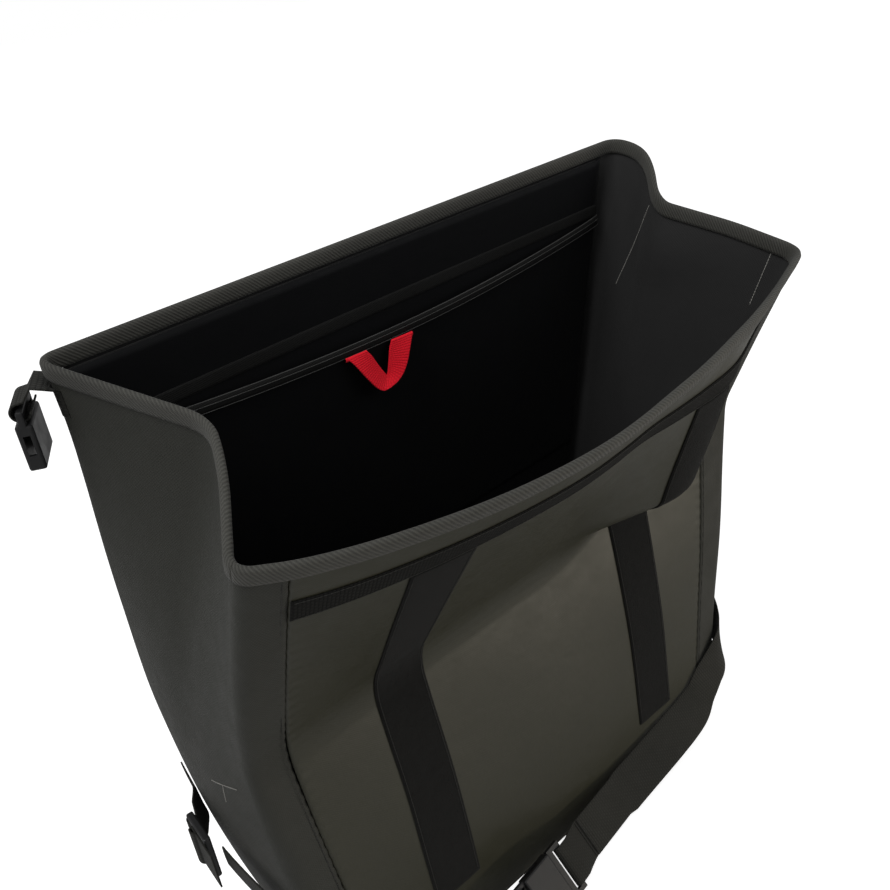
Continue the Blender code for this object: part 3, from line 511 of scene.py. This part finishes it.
pocket_left, pocket_right = float(pocket_place(0.0, 1.0)[0]), float(pocket_place(1.0, 1.0)[0])
pocket_share = np.linspace(0, 1, 140)[None, :]
pocket_level = np.linspace(0, 1, 70)[:, None]
cloth_x, cloth_y, cloth_z = pocket_place(pocket_share, pocket_level)
cloth_x = np.broadcast_to(cloth_x, cloth_z.shape)
held = np.sin(np.pi * pocket_share) * np.sin(np.pi * pocket_level)
cloth_y = cloth_y - np.abs(POCKET_SLACK * ripple(cloth_x * 1.3, cloth_z) * held)
cloth_metres = np.stack([cloth_x, cloth_z], -1)
pocket_cloth = grid_mesh("pocket_cloth", np.stack([cloth_x, cloth_y, cloth_z], -1), cloth_metres)
pocket_cloth.data.materials.append(lining)
thicken(pocket_cloth, 0.0009, 1.0)
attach(pocket_cloth, "bag")
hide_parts("pocket_panel")

lip_share = np.linspace(0, 1, 200)
lip_x, lip_y, lip_z = pocket_place(lip_share, 1.0)
_, under_y, under_z = pocket_place(lip_share, 0.9)
lip_lean = (lip_y - under_y) / (lip_z - under_z)
lip_section = (
    (-LIP_OUT, -0.0085),
    (-0.0027, -0.0060),
    (-0.0027, -0.0030),
    (-0.0024, 0.0009),
    (-0.0012, 0.0013),
    (0.0, 0.0009),
)
lip_rows = [
    np.stack([lip_x, lip_y + out + lip_lean * min(rise, 0.0), lip_z + rise], -1)
    for out, rise in lip_section
]
lip_points = np.stack(lip_rows, 1)
lip_run = np.array([0.0, 0.004, 0.008, 0.012, 0.0135, 0.0150])
lip_metres = np.stack(np.broadcast_arrays(lip_x[:, None], lip_run[None, :]), -1)
pocket_lip = grid_mesh("pocket_lip", lip_points, lip_metres)
pocket_lip.data.materials.append(pocket_tape)
thicken(pocket_lip, 0.0007, 1.0)
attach(pocket_lip, "bag")
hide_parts("pocket_binding")

hem_share = np.linspace(0, 1, 200)[None, :]
hem_x = np.broadcast_to(pocket_left + (pocket_right - pocket_left) * hem_share, (7, 200))
hem_up = np.linspace(0, HEM_HEIGHT, 7)[:, None]
hem_z = back_rim(hem_x) - HEM_DROP + hem_up
hem_y = wall_face - 0.0009 + 0.0003 * np.abs(np.linspace(-1, 1, 7)[:, None]) ** 3 + 0 * hem_x
hem_metres = np.stack([hem_x, np.broadcast_to(hem_up, hem_x.shape)], -1)
hem_tape = grid_mesh("hem_tape", np.stack([hem_x, hem_y, hem_z], -1), hem_metres)
hem_tape.data.materials.append(pocket_tape)
thicken(hem_tape, 0.0006, 1.0)
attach(hem_tape, "bag")
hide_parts("pocket_hem_tape")

back_up = np.linspace(0, 1, 80)[:, None]
back_low, back_high = np.array(side_lines(LINING_FOOT)), np.array(side_lines(HEIGHT))
back_share = np.linspace(0, 1, 90)[None, :]
back_foot = back_low[0] + LINING_INSET + (back_low[1] - back_low[0] - 2 * LINING_INSET) * back_share
back_top = back_high[0] + LINING_INSET + (back_high[1] - back_high[0] - 2 * LINING_INSET) * back_share
back_x = back_foot + (back_top - back_foot) * back_up
back_z = LINING_FOOT + (back_rim(back_top) - LINING_DROP - LINING_FOOT) * back_up
back_y = wall_face + 0.0001 + 0.0002 * ripple(back_x, back_z)
back_points, back_metres = np.stack([back_x, back_y, back_z], -1), np.stack([back_x, back_z], -1)
back_lining = grid_mesh("back_lining_cloth", back_points, back_metres)
back_lining.data.materials.append(lining)
thicken(back_lining, 0.0008, 1.0)
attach(back_lining, "bag")
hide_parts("back_lining")


# The pull loop: bright red ribbed webbing. Both ends are folded and sewn flat to the pocket's edge, and the
# rest hangs from it in a flat V.
WEB_THICK, FOLD_THICK = 0.0014, 0.0009


def unit(vectors):
    """The vectors divided by their lengths."""
    return vectors / np.linalg.norm(vectors, axis=-1, keepdims=True)


def smooth_path(points, steps):
    """A Catmull-Rom curve through the points, sampled evenly between each two."""
    given = np.array(points, float)
    ends = np.concatenate([[2 * given[0] - given[1]], given, [2 * given[-1] - given[-2]]])
    a, b, c, d = (ends[i : len(ends) - 3 + i, None, :] for i in range(4))
    t = (np.arange(steps) / steps)[None, :, None]
    curve = 2 * b + (c - a) * t + (2 * a - 5 * b + 4 * c - d) * t**2 + (3 * b - a - 3 * c + d) * t**3
    return np.concatenate([0.5 * curve.reshape(-1, given.shape[1]), given[-1:]])


def webbing(name, middle, node, look, body="bag", thickness=WEB_THICK):
    """A band along one side of a grid of points, from half to one and a half thicknesses off it.

    Its long edges are rounded, and its own length and width are its UV map.
    """
    normal = unit(np.cross(np.gradient(middle, axis=0), np.gradient(middle, axis=1)))
    step = np.linalg.norm(np.diff(middle[:, middle.shape[1] // 2], axis=0), axis=-1)
    run = np.concatenate([[0], np.cumsum(step)])[:, None]
    side = np.linalg.norm(middle[:, :1] - middle, axis=-1)
    metres = np.stack([np.broadcast_to(run, side.shape), side], -1)
    piece = grid_mesh(name, middle + normal * thickness / 2, metres)
    piece.data.materials.append(look)
    thicken(piece, thickness, -1.0, 0.0003)
    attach(piece, body)
    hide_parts(node)


red = woven("red_webbing", (0.86, 0.005, 0.020), 0.0022, "web", rough=0.60, depth=0.0005, sheen=0.05)
pull_x = -0.002
pull_share = (pull_x - pocket_left) / (pocket_right - pocket_left)
_, pull_y, _ = pocket_place(pull_share, 1.0)
pull_y, pull_z = float(pull_y) - LIP_OUT - GAP - WEB_THICK / 2, 0.4747
pull_run = np.linspace(0, 1, 120)

# The V's outer and inner edge: share of the webbing's length, and place across and up from the pivot.
outer_at = (0.0, 0.07, 0.22, 0.37, 0.46, 0.53, 0.63, 0.73, 0.82, 0.95, 1.0)
outer_x = (-0.0365, -0.0316, -0.0232, -0.0143, -0.0078, -0.0010, 0.0092, 0.0182, 0.0248, 0.0329, 0.0365)
outer_z = (0.0, -0.0061, -0.0226, -0.0376, -0.0437, -0.0436, -0.0406, -0.0340, -0.0240, -0.0063, 0.0)
inner_at = (0.0, 0.07, 0.25, 0.44, 0.56, 0.75, 0.95, 1.0)
inner_x = (-0.0153, -0.0120, -0.0049, 0.0010, 0.0034, 0.0053, 0.0093, 0.0125)
inner_z = (0.0004, -0.0043, -0.0205, -0.0318, -0.0322, -0.0229, -0.0061, 0.0004)
soft = np.exp(-((np.arange(-9, 10) / 5.0) ** 2))
soft = soft / soft.sum()


def drawn(at, values):
    """The values joined by straight lines along the run, then rounded by a short bell-shaped average."""
    line = np.interp(pull_run, at, values)
    ends = 2 * line[0] - line[9:0:-1], 2 * line[-1] - line[-2:-11:-1]
    return np.convolve(np.concatenate([ends[0], line, ends[1]]), soft, "valid")


pull_part = np.linspace(0, 1, 13)[None, :]
ribbon_x, ribbon_z = (
    drawn(outer_at, outer)[:, None] * (1 - pull_part) + drawn(inner_at, inner)[:, None] * pull_part
    for outer, inner in ((outer_x, inner_x), (outer_z, inner_z))
)
ribbon_out = np.sin(np.pi * pull_run)[:, None] ** 0.8 * (0.0075 - 0.0060 * pull_part)
pull_grid = np.stack([pull_x + ribbon_x, pull_y - ribbon_out, pull_z + 0.93 * ribbon_z], -1)
webbing("pull_webbing", pull_grid, "pull_loop", red, "pull_loop_body")
for side, centre, half in (("left", -0.0260, 0.0112), ("right", 0.0247, 0.0120)):
    fold_up, fold_across = np.linspace(-1, 1, 11)[:, None], np.linspace(-half, half, 13)[None, :]
    fold_y = pull_y - 0.0006 - 0.0020 * np.sqrt(np.clip(1 - fold_up**2, 0, 1)) + 0 * fold_across
    fold_z = pull_z - 0.0010 + 0.0024 * fold_up + 0 * fold_across
    fold_grid = np.stack([pull_x + centre + fold_across + 0 * fold_up, fold_y, fold_z], -1)
    webbing("pull_fold_" + side, fold_grid, "pull_loop", red, "pull_loop_body", FOLD_THICK)


# Two buckle halves of black moulded plastic hang at the back corners of the rim. Each hangs on a tab of
# ribbed black webbing that is sewn round the corner and looped through the half's bar.
UP, HALF_WRAP = np.array([0.0, 0.0, 1.0]), 0.0053
TAB_DROP, TAB_WIDTH, TAB_SEWN = 0.013, 0.030, 0.030
BAR_OUT, BAR_DROP = 0.022, 0.016
black_web = woven("black_webbing", (0.0155, 0.0155, 0.0130), 0.0028, "web", depth=0.0006, wear=0.55)


def plastic(name, colour, rough):
    """Moulded plastic: a fine pebbled skin, a few rubbed patches where the roughness drops."""
    net = Nodes(name)
    place = net.add("ShaderNodeTexCoord").outputs["Object"]
    pebble = net.noise(place, 1400.0, 2.0, 0.5)
    rubbed = net.noise(place, 60.0, 4.0, 0.6)
    deep, worn = (tuple(c * share for c in colour) for share in (0.8, 1.3))
    net.put(net.shader.inputs["Base Color"], net.mix(rubbed, deep, worn))
    net.put(net.shader.inputs["Roughness"], net.spread(rubbed, 0.35, 0.65, rough - 0.08, rough + 0.08))
    net.put(net.shader.inputs["Specular IOR Level"], 0.35)
    net.put(net.shader.inputs["Normal"], net.bump(pebble, 0.00008, 0.5))
    return net.material


buckle_black = plastic("buckle_black", (0.010, 0.010, 0.0105), 0.38)


def moulded(node, look, width=0.0004):
    """A rigid CAD node keeps its mesh and gets its material and fine rounded edges."""
    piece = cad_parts[node]
    piece.data.materials.clear()
    piece.data.materials.append(look)
    bevel = piece.modifiers.new("edges", "BEVEL")
    bevel.width = width
    bevel.segments = 2
    bevel.limit_method = "ANGLE"
    bevel.angle_limit = math.radians(40)


def bar_loop(centre, onward, out, sweep, start=90.0, turns=40):
    """An arc round a bar, HALF_WRAP off its centre, its angles in degrees from onward towards out."""
    angles = np.radians(np.linspace(start, start + sweep, turns))[:, None]
    return np.asarray(centre) + HALF_WRAP * (np.cos(angles) * onward + np.sin(angles) * out)


def flat_rows(path, across, width, columns=13):
    """A band about a path: each of its points moved sideways by even steps from edge to edge."""
    offsets = np.linspace(-width / 2, width / 2, columns)
    across = np.broadcast_to(unit(np.asarray(across, float)), np.shape(path))
    return np.asarray(path)[:, None, :] + across[:, None, :] * offsets[None, :, None]


for side, corner in (("left", LEFT_AT), ("right", BACK_AT)):
    high = float(rim_height(np.array([corner]))[0]) - TAB_DROP
    foot_point = wall(corner, high, 0.0, 0.0)
    tab_out = unit(wall(corner, high, 1.0, 0.0) - foot_point)
    tab_across = np.cross(UP, tab_out)
    bar = foot_point + tab_out * BAR_OUT - UP * BAR_DROP
    offsets = np.linspace(-TAB_WIDTH / 2, TAB_WIDTH / 2, 13)
    levels = high - TAB_SEWN + TAB_SEWN * np.linspace(0, 0.7, 14)
    sewn = wall(corner + offsets[None, :], levels[:, None], 2 * GAP + WEB_THICK / 2, 0.0)
    free = [
        foot_point + tab_out * 0.0045 - UP * 0.003,
        foot_point + tab_out * 0.0105 - UP * 0.001,
        bar + UP * 0.0063 - tab_out * 0.005,
    ]
    tab_path = np.concatenate([np.array(free), bar_loop(bar, tab_out, UP, -262)])
    tab_grid = np.concatenate([sewn, flat_rows(tab_path, tab_across, TAB_WIDTH)])
    webbing(side + "_tab_webbing", tab_grid, side + "_clip_tab", black_web)
    moulded(side + "_clip", buckle_black)


# The front strap: 40 mm black webbing in two halves that bow slackly round the lower front. The left one
# comes out of a ladder lock on a short anchor strap, the right one is sewn to its side, and a side-release
# buckle joins them. At the front the strap leans by 45 degrees.
BUCKLE_BAR, SLOT, BUCKLE_BODY, SHOULDER = 0.0055, 0.0050, 0.036, 0.006
LAP_LENGTH, ANCHOR_LENGTH, SEWN_HEIGHT = 0.064, 0.066, 0.215


def wall_rows(points, width, steps=16, columns=13):
    """Webbing along the walls, from rows of length along, height, stand-off and its lean in degrees."""
    route = smooth_path(points, steps)
    step = np.gradient(route[:, :2], axis=0)
    step = step / np.hypot(step[:, 0], step[:, 1])[:, None]
    lean = np.radians(route[:, 3:4])
    offsets = np.linspace(-width / 2, width / 2, columns)
    along = route[:, :1] - step[:, 1:] * offsets * np.cos(lean)
    z = route[:, 1:2] + step[:, :1] * offsets * np.cos(lean)
    return wall(along, z, route[:, 2:3] - step[:, :1] * offsets * np.sin(lean))


tilt, swing, low, bow, strap = math.radians(45), math.radians(7), 0.025, 0.041, 0.040
strap_centre = -0.062
AHEAD = np.array([math.cos(swing), math.sin(swing), 0.0])
level_out = np.array([math.sin(swing), -math.cos(swing), 0.0])
leaning = math.cos(tilt) * UP - math.sin(tilt) * level_out
facing = math.sin(tilt) * UP + math.cos(tilt) * level_out
bar_gap = BUCKLE_BODY + 2 * (BUCKLE_BAR / 2 + SLOT) + SHOULDER + GAP
strap_face = float(wall(place_of(strap_centre, low), low, 0.0, 0.0)[1])
female_bar = np.array([strap_centre, strap_face - bow, low]) - AHEAD * bar_gap / 2
male_bar = female_bar + AHEAD * bar_gap
lock_at, lock_z, lock_off, lock_long = LEFT_AT + 0.44 * DEPTH, 0.152, 0.018, 0.034
lock_bar = wall(lock_at, lock_z, lock_off, 0.0)
lock_on = unit(wall(lock_at + 0.01, lock_z, 0.0, 0.0) - wall(lock_at - 0.01, lock_z, 0.0, 0.0))
lock_away = unit(wall(lock_at, lock_z, 0.01, 0.0) - wall(lock_at, lock_z, 0.0, 0.0))
flat = GAP + WEB_THICK / 2
anchor = [
    (lock_at - ANCHOR_LENGTH, lock_z, flat, 0),
    (lock_at - 0.70 * ANCHOR_LENGTH, lock_z, flat, 0),
    (lock_at - 0.45 * ANCHOR_LENGTH, lock_z, flat + GAP, 0),
    (lock_at - 0.21 * ANCHOR_LENGTH, lock_z, (lock_off - HALF_WRAP) * 0.62, 0),
]
anchor_turn = flat_rows(bar_loop(lock_bar, lock_on, lock_away, 235, -90), UP, strap)
anchor_grid = [wall_rows(anchor, strap), anchor_turn]
webbing("anchor_webbing", np.concatenate(anchor_grid), "left_anchor_strap", black_web)
lock_middle = lock_bar + lock_on * (lock_long - BUCKLE_BAR) * 0.37
tail = [lock_middle + lock_on * lock_long * share + lock_away * HALF_WRAP for share in (1.0, 0.6, 0.24)]
wound = bar_loop(lock_middle, lock_on, lock_away, -200, 190, 13)[5:]
winding = flat_rows(smooth_path(np.concatenate([tail, wound]), 5), UP, strap)
webbing("lock_winding", winding, "left_strap_winding", black_web, "lock_body")
lead = female_bar + facing * HALF_WRAP - AHEAD * 0.05 * RIM_WIDTH
left_route = [
    (lock_at + 1.12 * lock_long, lock_z, 0.56 * lock_off, 0),
    (LOOP - 0.050 * RIM_WIDTH, 0.82 * lock_z, 0.20 * bow, 0),
    (LOOP + 0.010 * RIM_WIDTH, 0.62 * lock_z, 0.26 * bow, 4.5),
    (LOOP + 0.060 * RIM_WIDTH, 0.46 * lock_z, 0.50 * bow, 18),
    (LOOP + 0.115 * RIM_WIDTH, 0.29 * lock_z, 0.86 * bow, 36),
    (LOOP + float(place_of(lead[0] - 0.05 * RIM_WIDTH, low)), 1.08 * low, 1.14 * bow, 45),
    (LOOP + float(place_of(lead[0], low)), low, strap_face - lead[1], 45),
]
left_turn = flat_rows(bar_loop(female_bar, AHEAD, facing, -235), leaning, strap)
left_grid = [wall_rows(left_route, strap), left_turn]
webbing("left_strap_webbing", np.concatenate(left_grid), "left_strap", black_web)
lapped = male_bar - facing * (HALF_WRAP + WEB_THICK + 3 * GAP)
straight = np.array([lapped + AHEAD * onward for onward in (0.094, 0.082, 0.0705, 0.054, 0.037)])
last = straight[0] + AHEAD * 0.02 * RIM_WIDTH
right_route = [
    (RIGHT_AT + 0.42 * DEPTH, SEWN_HEIGHT, flat, 0),
    (RIGHT_AT + 0.78 * 0.42 * DEPTH, 0.83 * SEWN_HEIGHT, flat + 2 * GAP, 0),
    (RIGHT_AT + 0.42 * 0.42 * DEPTH, 0.58 * SEWN_HEIGHT, 0.14 * bow, 0),
    (RIGHT_AT, 0.36 * SEWN_HEIGHT, 0.18 * bow, 13.5),
    (RIGHT_AT - 0.07 * RIM_WIDTH, 0.23 * SEWN_HEIGHT, 0.24 * bow, 31.5),
    (RIGHT_AT - 0.14 * RIM_WIDTH, 0.15 * SEWN_HEIGHT, 0.36 * bow, 45),
    (float(place_of(last[0], low)), last[2], strap_face - last[1], 45),
]
right_grid = [wall_rows(right_route, strap), flat_rows(straight, -leaning, strap)]
webbing("right_strap_webbing", np.concatenate(right_grid), "right_strap", black_web)
# The lapped end on its way to the bar: share of its length, and how far off the bar in half wraps.
lay = ((0.92, -1.0), (0.75, -1.0), (0.56, -1.0), (0.38, -0.28), (0.19, 0.75))
end_points = [male_bar + AHEAD * LAP_LENGTH * share + facing * HALF_WRAP * off for share, off in lay]
end_path = smooth_path(end_points, 8)
end_path = np.concatenate([end_path, bar_loop(male_bar, AHEAD, facing, 205, 70)])
end_grid = flat_rows(end_path, leaning, strap)
webbing("strap_end_webbing", end_grid, "right_strap_end", black_web, "male_body")
for node in ("left_ladder_lock", "centre_buckle_female", "centre_buckle_male"):
    moulded(node, buckle_black)


# Stitching: strong twisted thread in short stitches along each seam. It is black, except for the pale bar
# tack and inner seams, and the grey lines at the pocket's mouth, which are painted highlights.
RIM_ROW, TACK_PITCH, TACK_RADIUS = 0.0085, 0.0022, 0.00040


def stitches(name, path, look, pitch=0.0035, radius=0.00032, body="bag"):
    """A six-sided tube carried along a path, whose radius swells and pinches once a stitch."""
    path = np.asarray(path, float)
    step = np.concatenate([[0], np.cumsum(np.linalg.norm(np.diff(path, axis=0), axis=-1))])
    run = np.linspace(0, step[-1], max(8, int(step[-1] / pitch * 6)))
    line = np.stack([np.interp(run, step, path[:, i]) for i in range(3)], -1)
    tangent = unit(np.gradient(line, axis=0))
    side = unit(np.cross(tangent, np.array([0.31, 0.77, 0.55])))
    other = np.cross(tangent, side)
    thick = radius * (0.25 + 0.75 * np.abs(np.sin(np.pi * run / pitch)) ** 0.5)[:, None, None]
    angle = np.linspace(0, 2 * np.pi, 7)[:-1][None, :, None]
    ring = side[:, None] * np.cos(angle) + other[:, None] * np.sin(angle)
    points = line[:, None] + ring * thick
    metres = np.stack(np.broadcast_arrays(run[:, None], angle[..., 0] * radius), -1)
    piece = grid_mesh(name, points, metres, closed=True)
    piece.data.materials.append(look)
    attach(piece, body)


def thread(name, colour):
    """Two shades in fine slanting bands, the twist of the thread."""
    net = Nodes(name)
    chart = net.add("ShaderNodeUVMap", uv_map="metres").outputs[0]
    split = net.add("ShaderNodeSeparateXYZ")
    net.put(split.inputs[0], chart)
    ply = net.math("SINE", net.math("MULTIPLY", net.math("ADD", split.outputs[0], split.outputs[1]), 9000.0))
    share = net.math("MULTIPLY_ADD", ply, 0.5, 0.5)
    net.put(net.shader.inputs["Base Color"], net.mix(share, tuple(c * 0.7 for c in colour), colour))
    net.put(net.shader.inputs["Roughness"], 0.6)
    net.put(net.shader.inputs["Normal"], net.bump(ply, 0.00008))
    return net.material


dark_thread = thread("dark_thread", (0.020, 0.020, 0.018))
pale_thread = thread("pale_thread", (0.42, 0.41, 0.38))
seam_z = np.linspace(0.006, HEIGHT - 0.012, 160)
for side, at in (("left", LEFT_SEAM - 0.004), ("right", RIM_WIDTH - RIGHT_SEAM + 0.004)):
    stitches(side + "_front_seam_thread", wall(at, seam_z, 0.0001), dark_thread)
rim_run = np.linspace(0, LOOP, 900)
for name, out in (("rim_outer_thread", GAP + 0.0013), ("rim_inner_thread", -(CLOTH + GAP + 0.0013))):
    stitches(name, wall(rim_run, rim_height(rim_run) - RIM_ROW, out, 0.0), dark_thread)

# A pale bar tack in the shape of a T on the left side, half way up and near the front corner.
tack_at, tack_z = LEFT_AT + 0.726 * DEPTH, 0.2437
run_at = np.linspace(-1, 1, 40)
tack_bar = wall(tack_at + 0.026 * run_at, tack_z + 0.011 * run_at, 0.0002)
stitches("tack_across", tack_bar, pale_thread, TACK_PITCH, TACK_RADIUS)
run_at = np.linspace(0, 1, 20)
tack_stem = wall(tack_at - 0.002 - 0.003 * run_at, tack_z - 0.001 - 0.019 * run_at, 0.0002)
stitches("tack_down", tack_stem, pale_thread, TACK_PITCH, TACK_RADIUS)

# Stitching on the straps and strips: two rows across the strap's lapped end, a box on the sewn end of the
# lock's anchor, and a row inside each long edge of the hook strip and the loop strips.
row = np.linspace(-0.0185, 0.0185, 30)[:, None]
for name, onward in (("first", 0.034), ("second", 0.0375)):
    across_end = male_bar + AHEAD * onward + facing * (WEB_THICK / 2 - HALF_WRAP) + leaning * row
    stitches("strap_" + name + "_seam", across_end, dark_thread, 0.0030, 0.00050, "male_body")
box_at = np.array([-1, -0.2, 0.6, 1, 1, 1, 0.2, -0.6, -1, -1])
box_side = np.array([-1, -1, -1, -1, 0, 1, 1, 1, 1, -1])
box_seam = wall(lock_at - 0.055 + 0.008 * box_at, lock_z + 0.0165 * box_side, flat + 0.0009, 0.0)
stitches("anchor_box_seam", box_seam, dark_thread, 0.0030, 0.00045)
hook_run = np.linspace(hook_start + 0.002, hook_end - 0.002, 300)
for name, drop in (("upper", HOOK_DROP + 0.0015), ("lower", HOOK_DROP + HOOK_HEIGHT - 0.0015)):
    stitches("hook_" + name + "_seam", wall(hook_run, HEIGHT - drop, 0.0017), dark_thread)
edge_z = np.linspace(0.058, HEIGHT - 0.056, 200)
for side, middle in STRIPS:
    for name, offset in (("inner", STRIP_HALF - 0.0025), ("outer", 0.0025 - STRIP_HALF)):
        edge_x = middle + offset + STRIP_WAVER * np.sin(edge_z * 45 + middle * 50)
        edge_line = wall(place_of(edge_x, edge_z), edge_z, 0.0016)
        stitches(side + "_strip_" + name + "_seam", edge_line, dark_thread)

# The pocket's bound mouth: the tape's two edges and its row of stitches catch the light. Thin grey tubes
# along all three are painted highlights; the middle one is also the row of stitches.
painted_highlight_thread = thread("painted_highlight_thread", (0.085, 0.085, 0.082))
for name, drop, thick in (("top", -0.0012, 0.00045), ("seam", 0.0024, 0.00032), ("foot", 0.0083, 0.00035)):
    out = -0.0018 if drop < 0 else -0.0036
    lip_edge = np.stack([lip_x, lip_y + out + lip_lean * min(-drop, 0.0), lip_z - drop], -1)
    stitches("pocket_lip_" + name + "_thread", lip_edge, painted_highlight_thread, 0.0022, thick)

# Two short pale seams show on the inside of the right side panel: beside its fold and its front corner.
inner_face = -(CLOTH + 0.0001)
inner_seams = (("fold", 0.690, 0.040, 0.020, 0.122), ("corner", 0.109, 0.001, 0.0115, 0.0605))
run_at = np.linspace(0, 1, 60)
for name, share_back, slide, top_drop, bottom_drop in inner_seams:
    at = RIGHT_AT + share_back * DEPTH
    top = float(rim_height(np.array([at]))[0])
    heights = top - top_drop - (bottom_drop - top_drop) * run_at
    seam_line = wall(at + slide * run_at, heights, inner_face)
    stitches("inner_" + name + "_thread", seam_line, pale_thread, 0.0030, 0.00055)


# Two stiff boards keep the base flat and the back straight: pressed black board, cut to size and hidden in
# the bag. They keep the solids' own shape.
board = plastic("pressed_board", (0.016, 0.016, 0.016), 0.7)
moulded("base_board", board, 0.0006)
moulded("back_board", board, 0.0004)


# The studio: a white floor and background, a broad soft light in front, a low warm one that reaches the
# cloth under the rim, and one overhead. The camera stands in front of the left front corner and above it.
FLOOR_GREY, FLOOR_GLOW, SKY_LIGHT = 0.58, 0.82, 0.42
floor_mesh = bpy.data.meshes.new("floor")
floor_mesh.from_pydata([(-9, -9, 0), (9, -9, 0), (9, 9, 0), (-9, 9, 0)], [], [(0, 1, 2, 3)])
floor = bpy.data.objects.new("floor", floor_mesh)
scene.collection.objects.link(floor)
studio = Nodes("studio_floor")
studio.put(studio.shader.inputs["Base Color"], (FLOOR_GREY, FLOOR_GREY, FLOOR_GREY, 1))
studio.put(studio.shader.inputs["Roughness"], 0.9)
studio.put(studio.shader.inputs["Specular IOR Level"], 0.0)
studio.put(studio.shader.inputs["Emission Color"], (1, 1, 1, 1))
seen = studio.add("ShaderNodeLightPath").outputs["Is Camera Ray"]
studio.put(studio.shader.inputs["Emission Strength"], studio.math("MULTIPLY", seen, FLOOR_GLOW))
floor_mesh.materials.append(studio.material)

world = bpy.data.worlds.new("studio")
scene.world = world
world.use_nodes = True
sky = world.node_tree
sky.nodes["Background"].inputs["Color"].default_value = (1, 1, 1, 1)
ray = sky.nodes.new("ShaderNodeLightPath")
share_node = sky.nodes.new("ShaderNodeMath")
share_node.operation = "MULTIPLY_ADD"
share_node.inputs[1].default_value = 1 - SKY_LIGHT
share_node.inputs[2].default_value = SKY_LIGHT
sky.links.new(ray.outputs["Is Camera Ray"], share_node.inputs[0])
sky.links.new(share_node.outputs[0], sky.nodes["Background"].inputs["Strength"])


def area_light(name, place, aim, size, power, colour=(1.0, 1.0, 1.0)):
    """A rectangular light at a place, turned to face its aim."""
    data = bpy.data.lights.new(name, "AREA")
    data.shape = "RECTANGLE"
    data.size, data.size_y = size
    data.energy = power
    data.color = colour
    lamp = bpy.data.objects.new(name, data)
    lamp.location = place
    lamp.rotation_mode = "QUATERNION"
    lamp.rotation_quaternion = (Vector(aim) - Vector(place)).to_track_quat("-Z", "Y")
    scene.collection.objects.link(lamp)


area_light("key", (1.2, -1.7, 1.5), (0.0, 0.0, 0.4), (1.5, 1.2), 8.0)
area_light("low", (0.9, -1.6, 0.12), (0.05, -0.1, 0.45), (1.4, 0.2), 8.0, (1.0, 0.90, 0.74))
area_light("overhead", (-1.2, 0.0, 2.1), (0.1, 0.0, 0.4), (1.2, 1.2), 22.0)

camera_data = bpy.data.cameras.new("camera")
camera = bpy.data.objects.new("camera", camera_data)
camera_data.sensor_width = 36.0
camera_data.lens = 35.6
camera_data.clip_start = 0.05
corner_point = Vector((LEAN - RIM_WIDTH / 2, CHORD, HEIGHT))
right_axis = Vector((0.7480, -0.6594, -0.0747)).normalized()
forward = Vector((0.5351, 0.6659, -0.5200)).normalized()
down_axis = forward.cross(right_axis).normalized()
right_axis = down_axis.cross(forward)
turned = Matrix((right_axis, -down_axis, -forward)).transposed().to_4x4()
eye = corner_point + RIM_WIDTH * Vector((-0.2253, -0.6289, 0.503))
camera.matrix_world = Matrix.Translation(eye) @ turned
scene.collection.objects.link(camera)
scene.camera = camera
scene.view_settings.view_transform = "Standard"
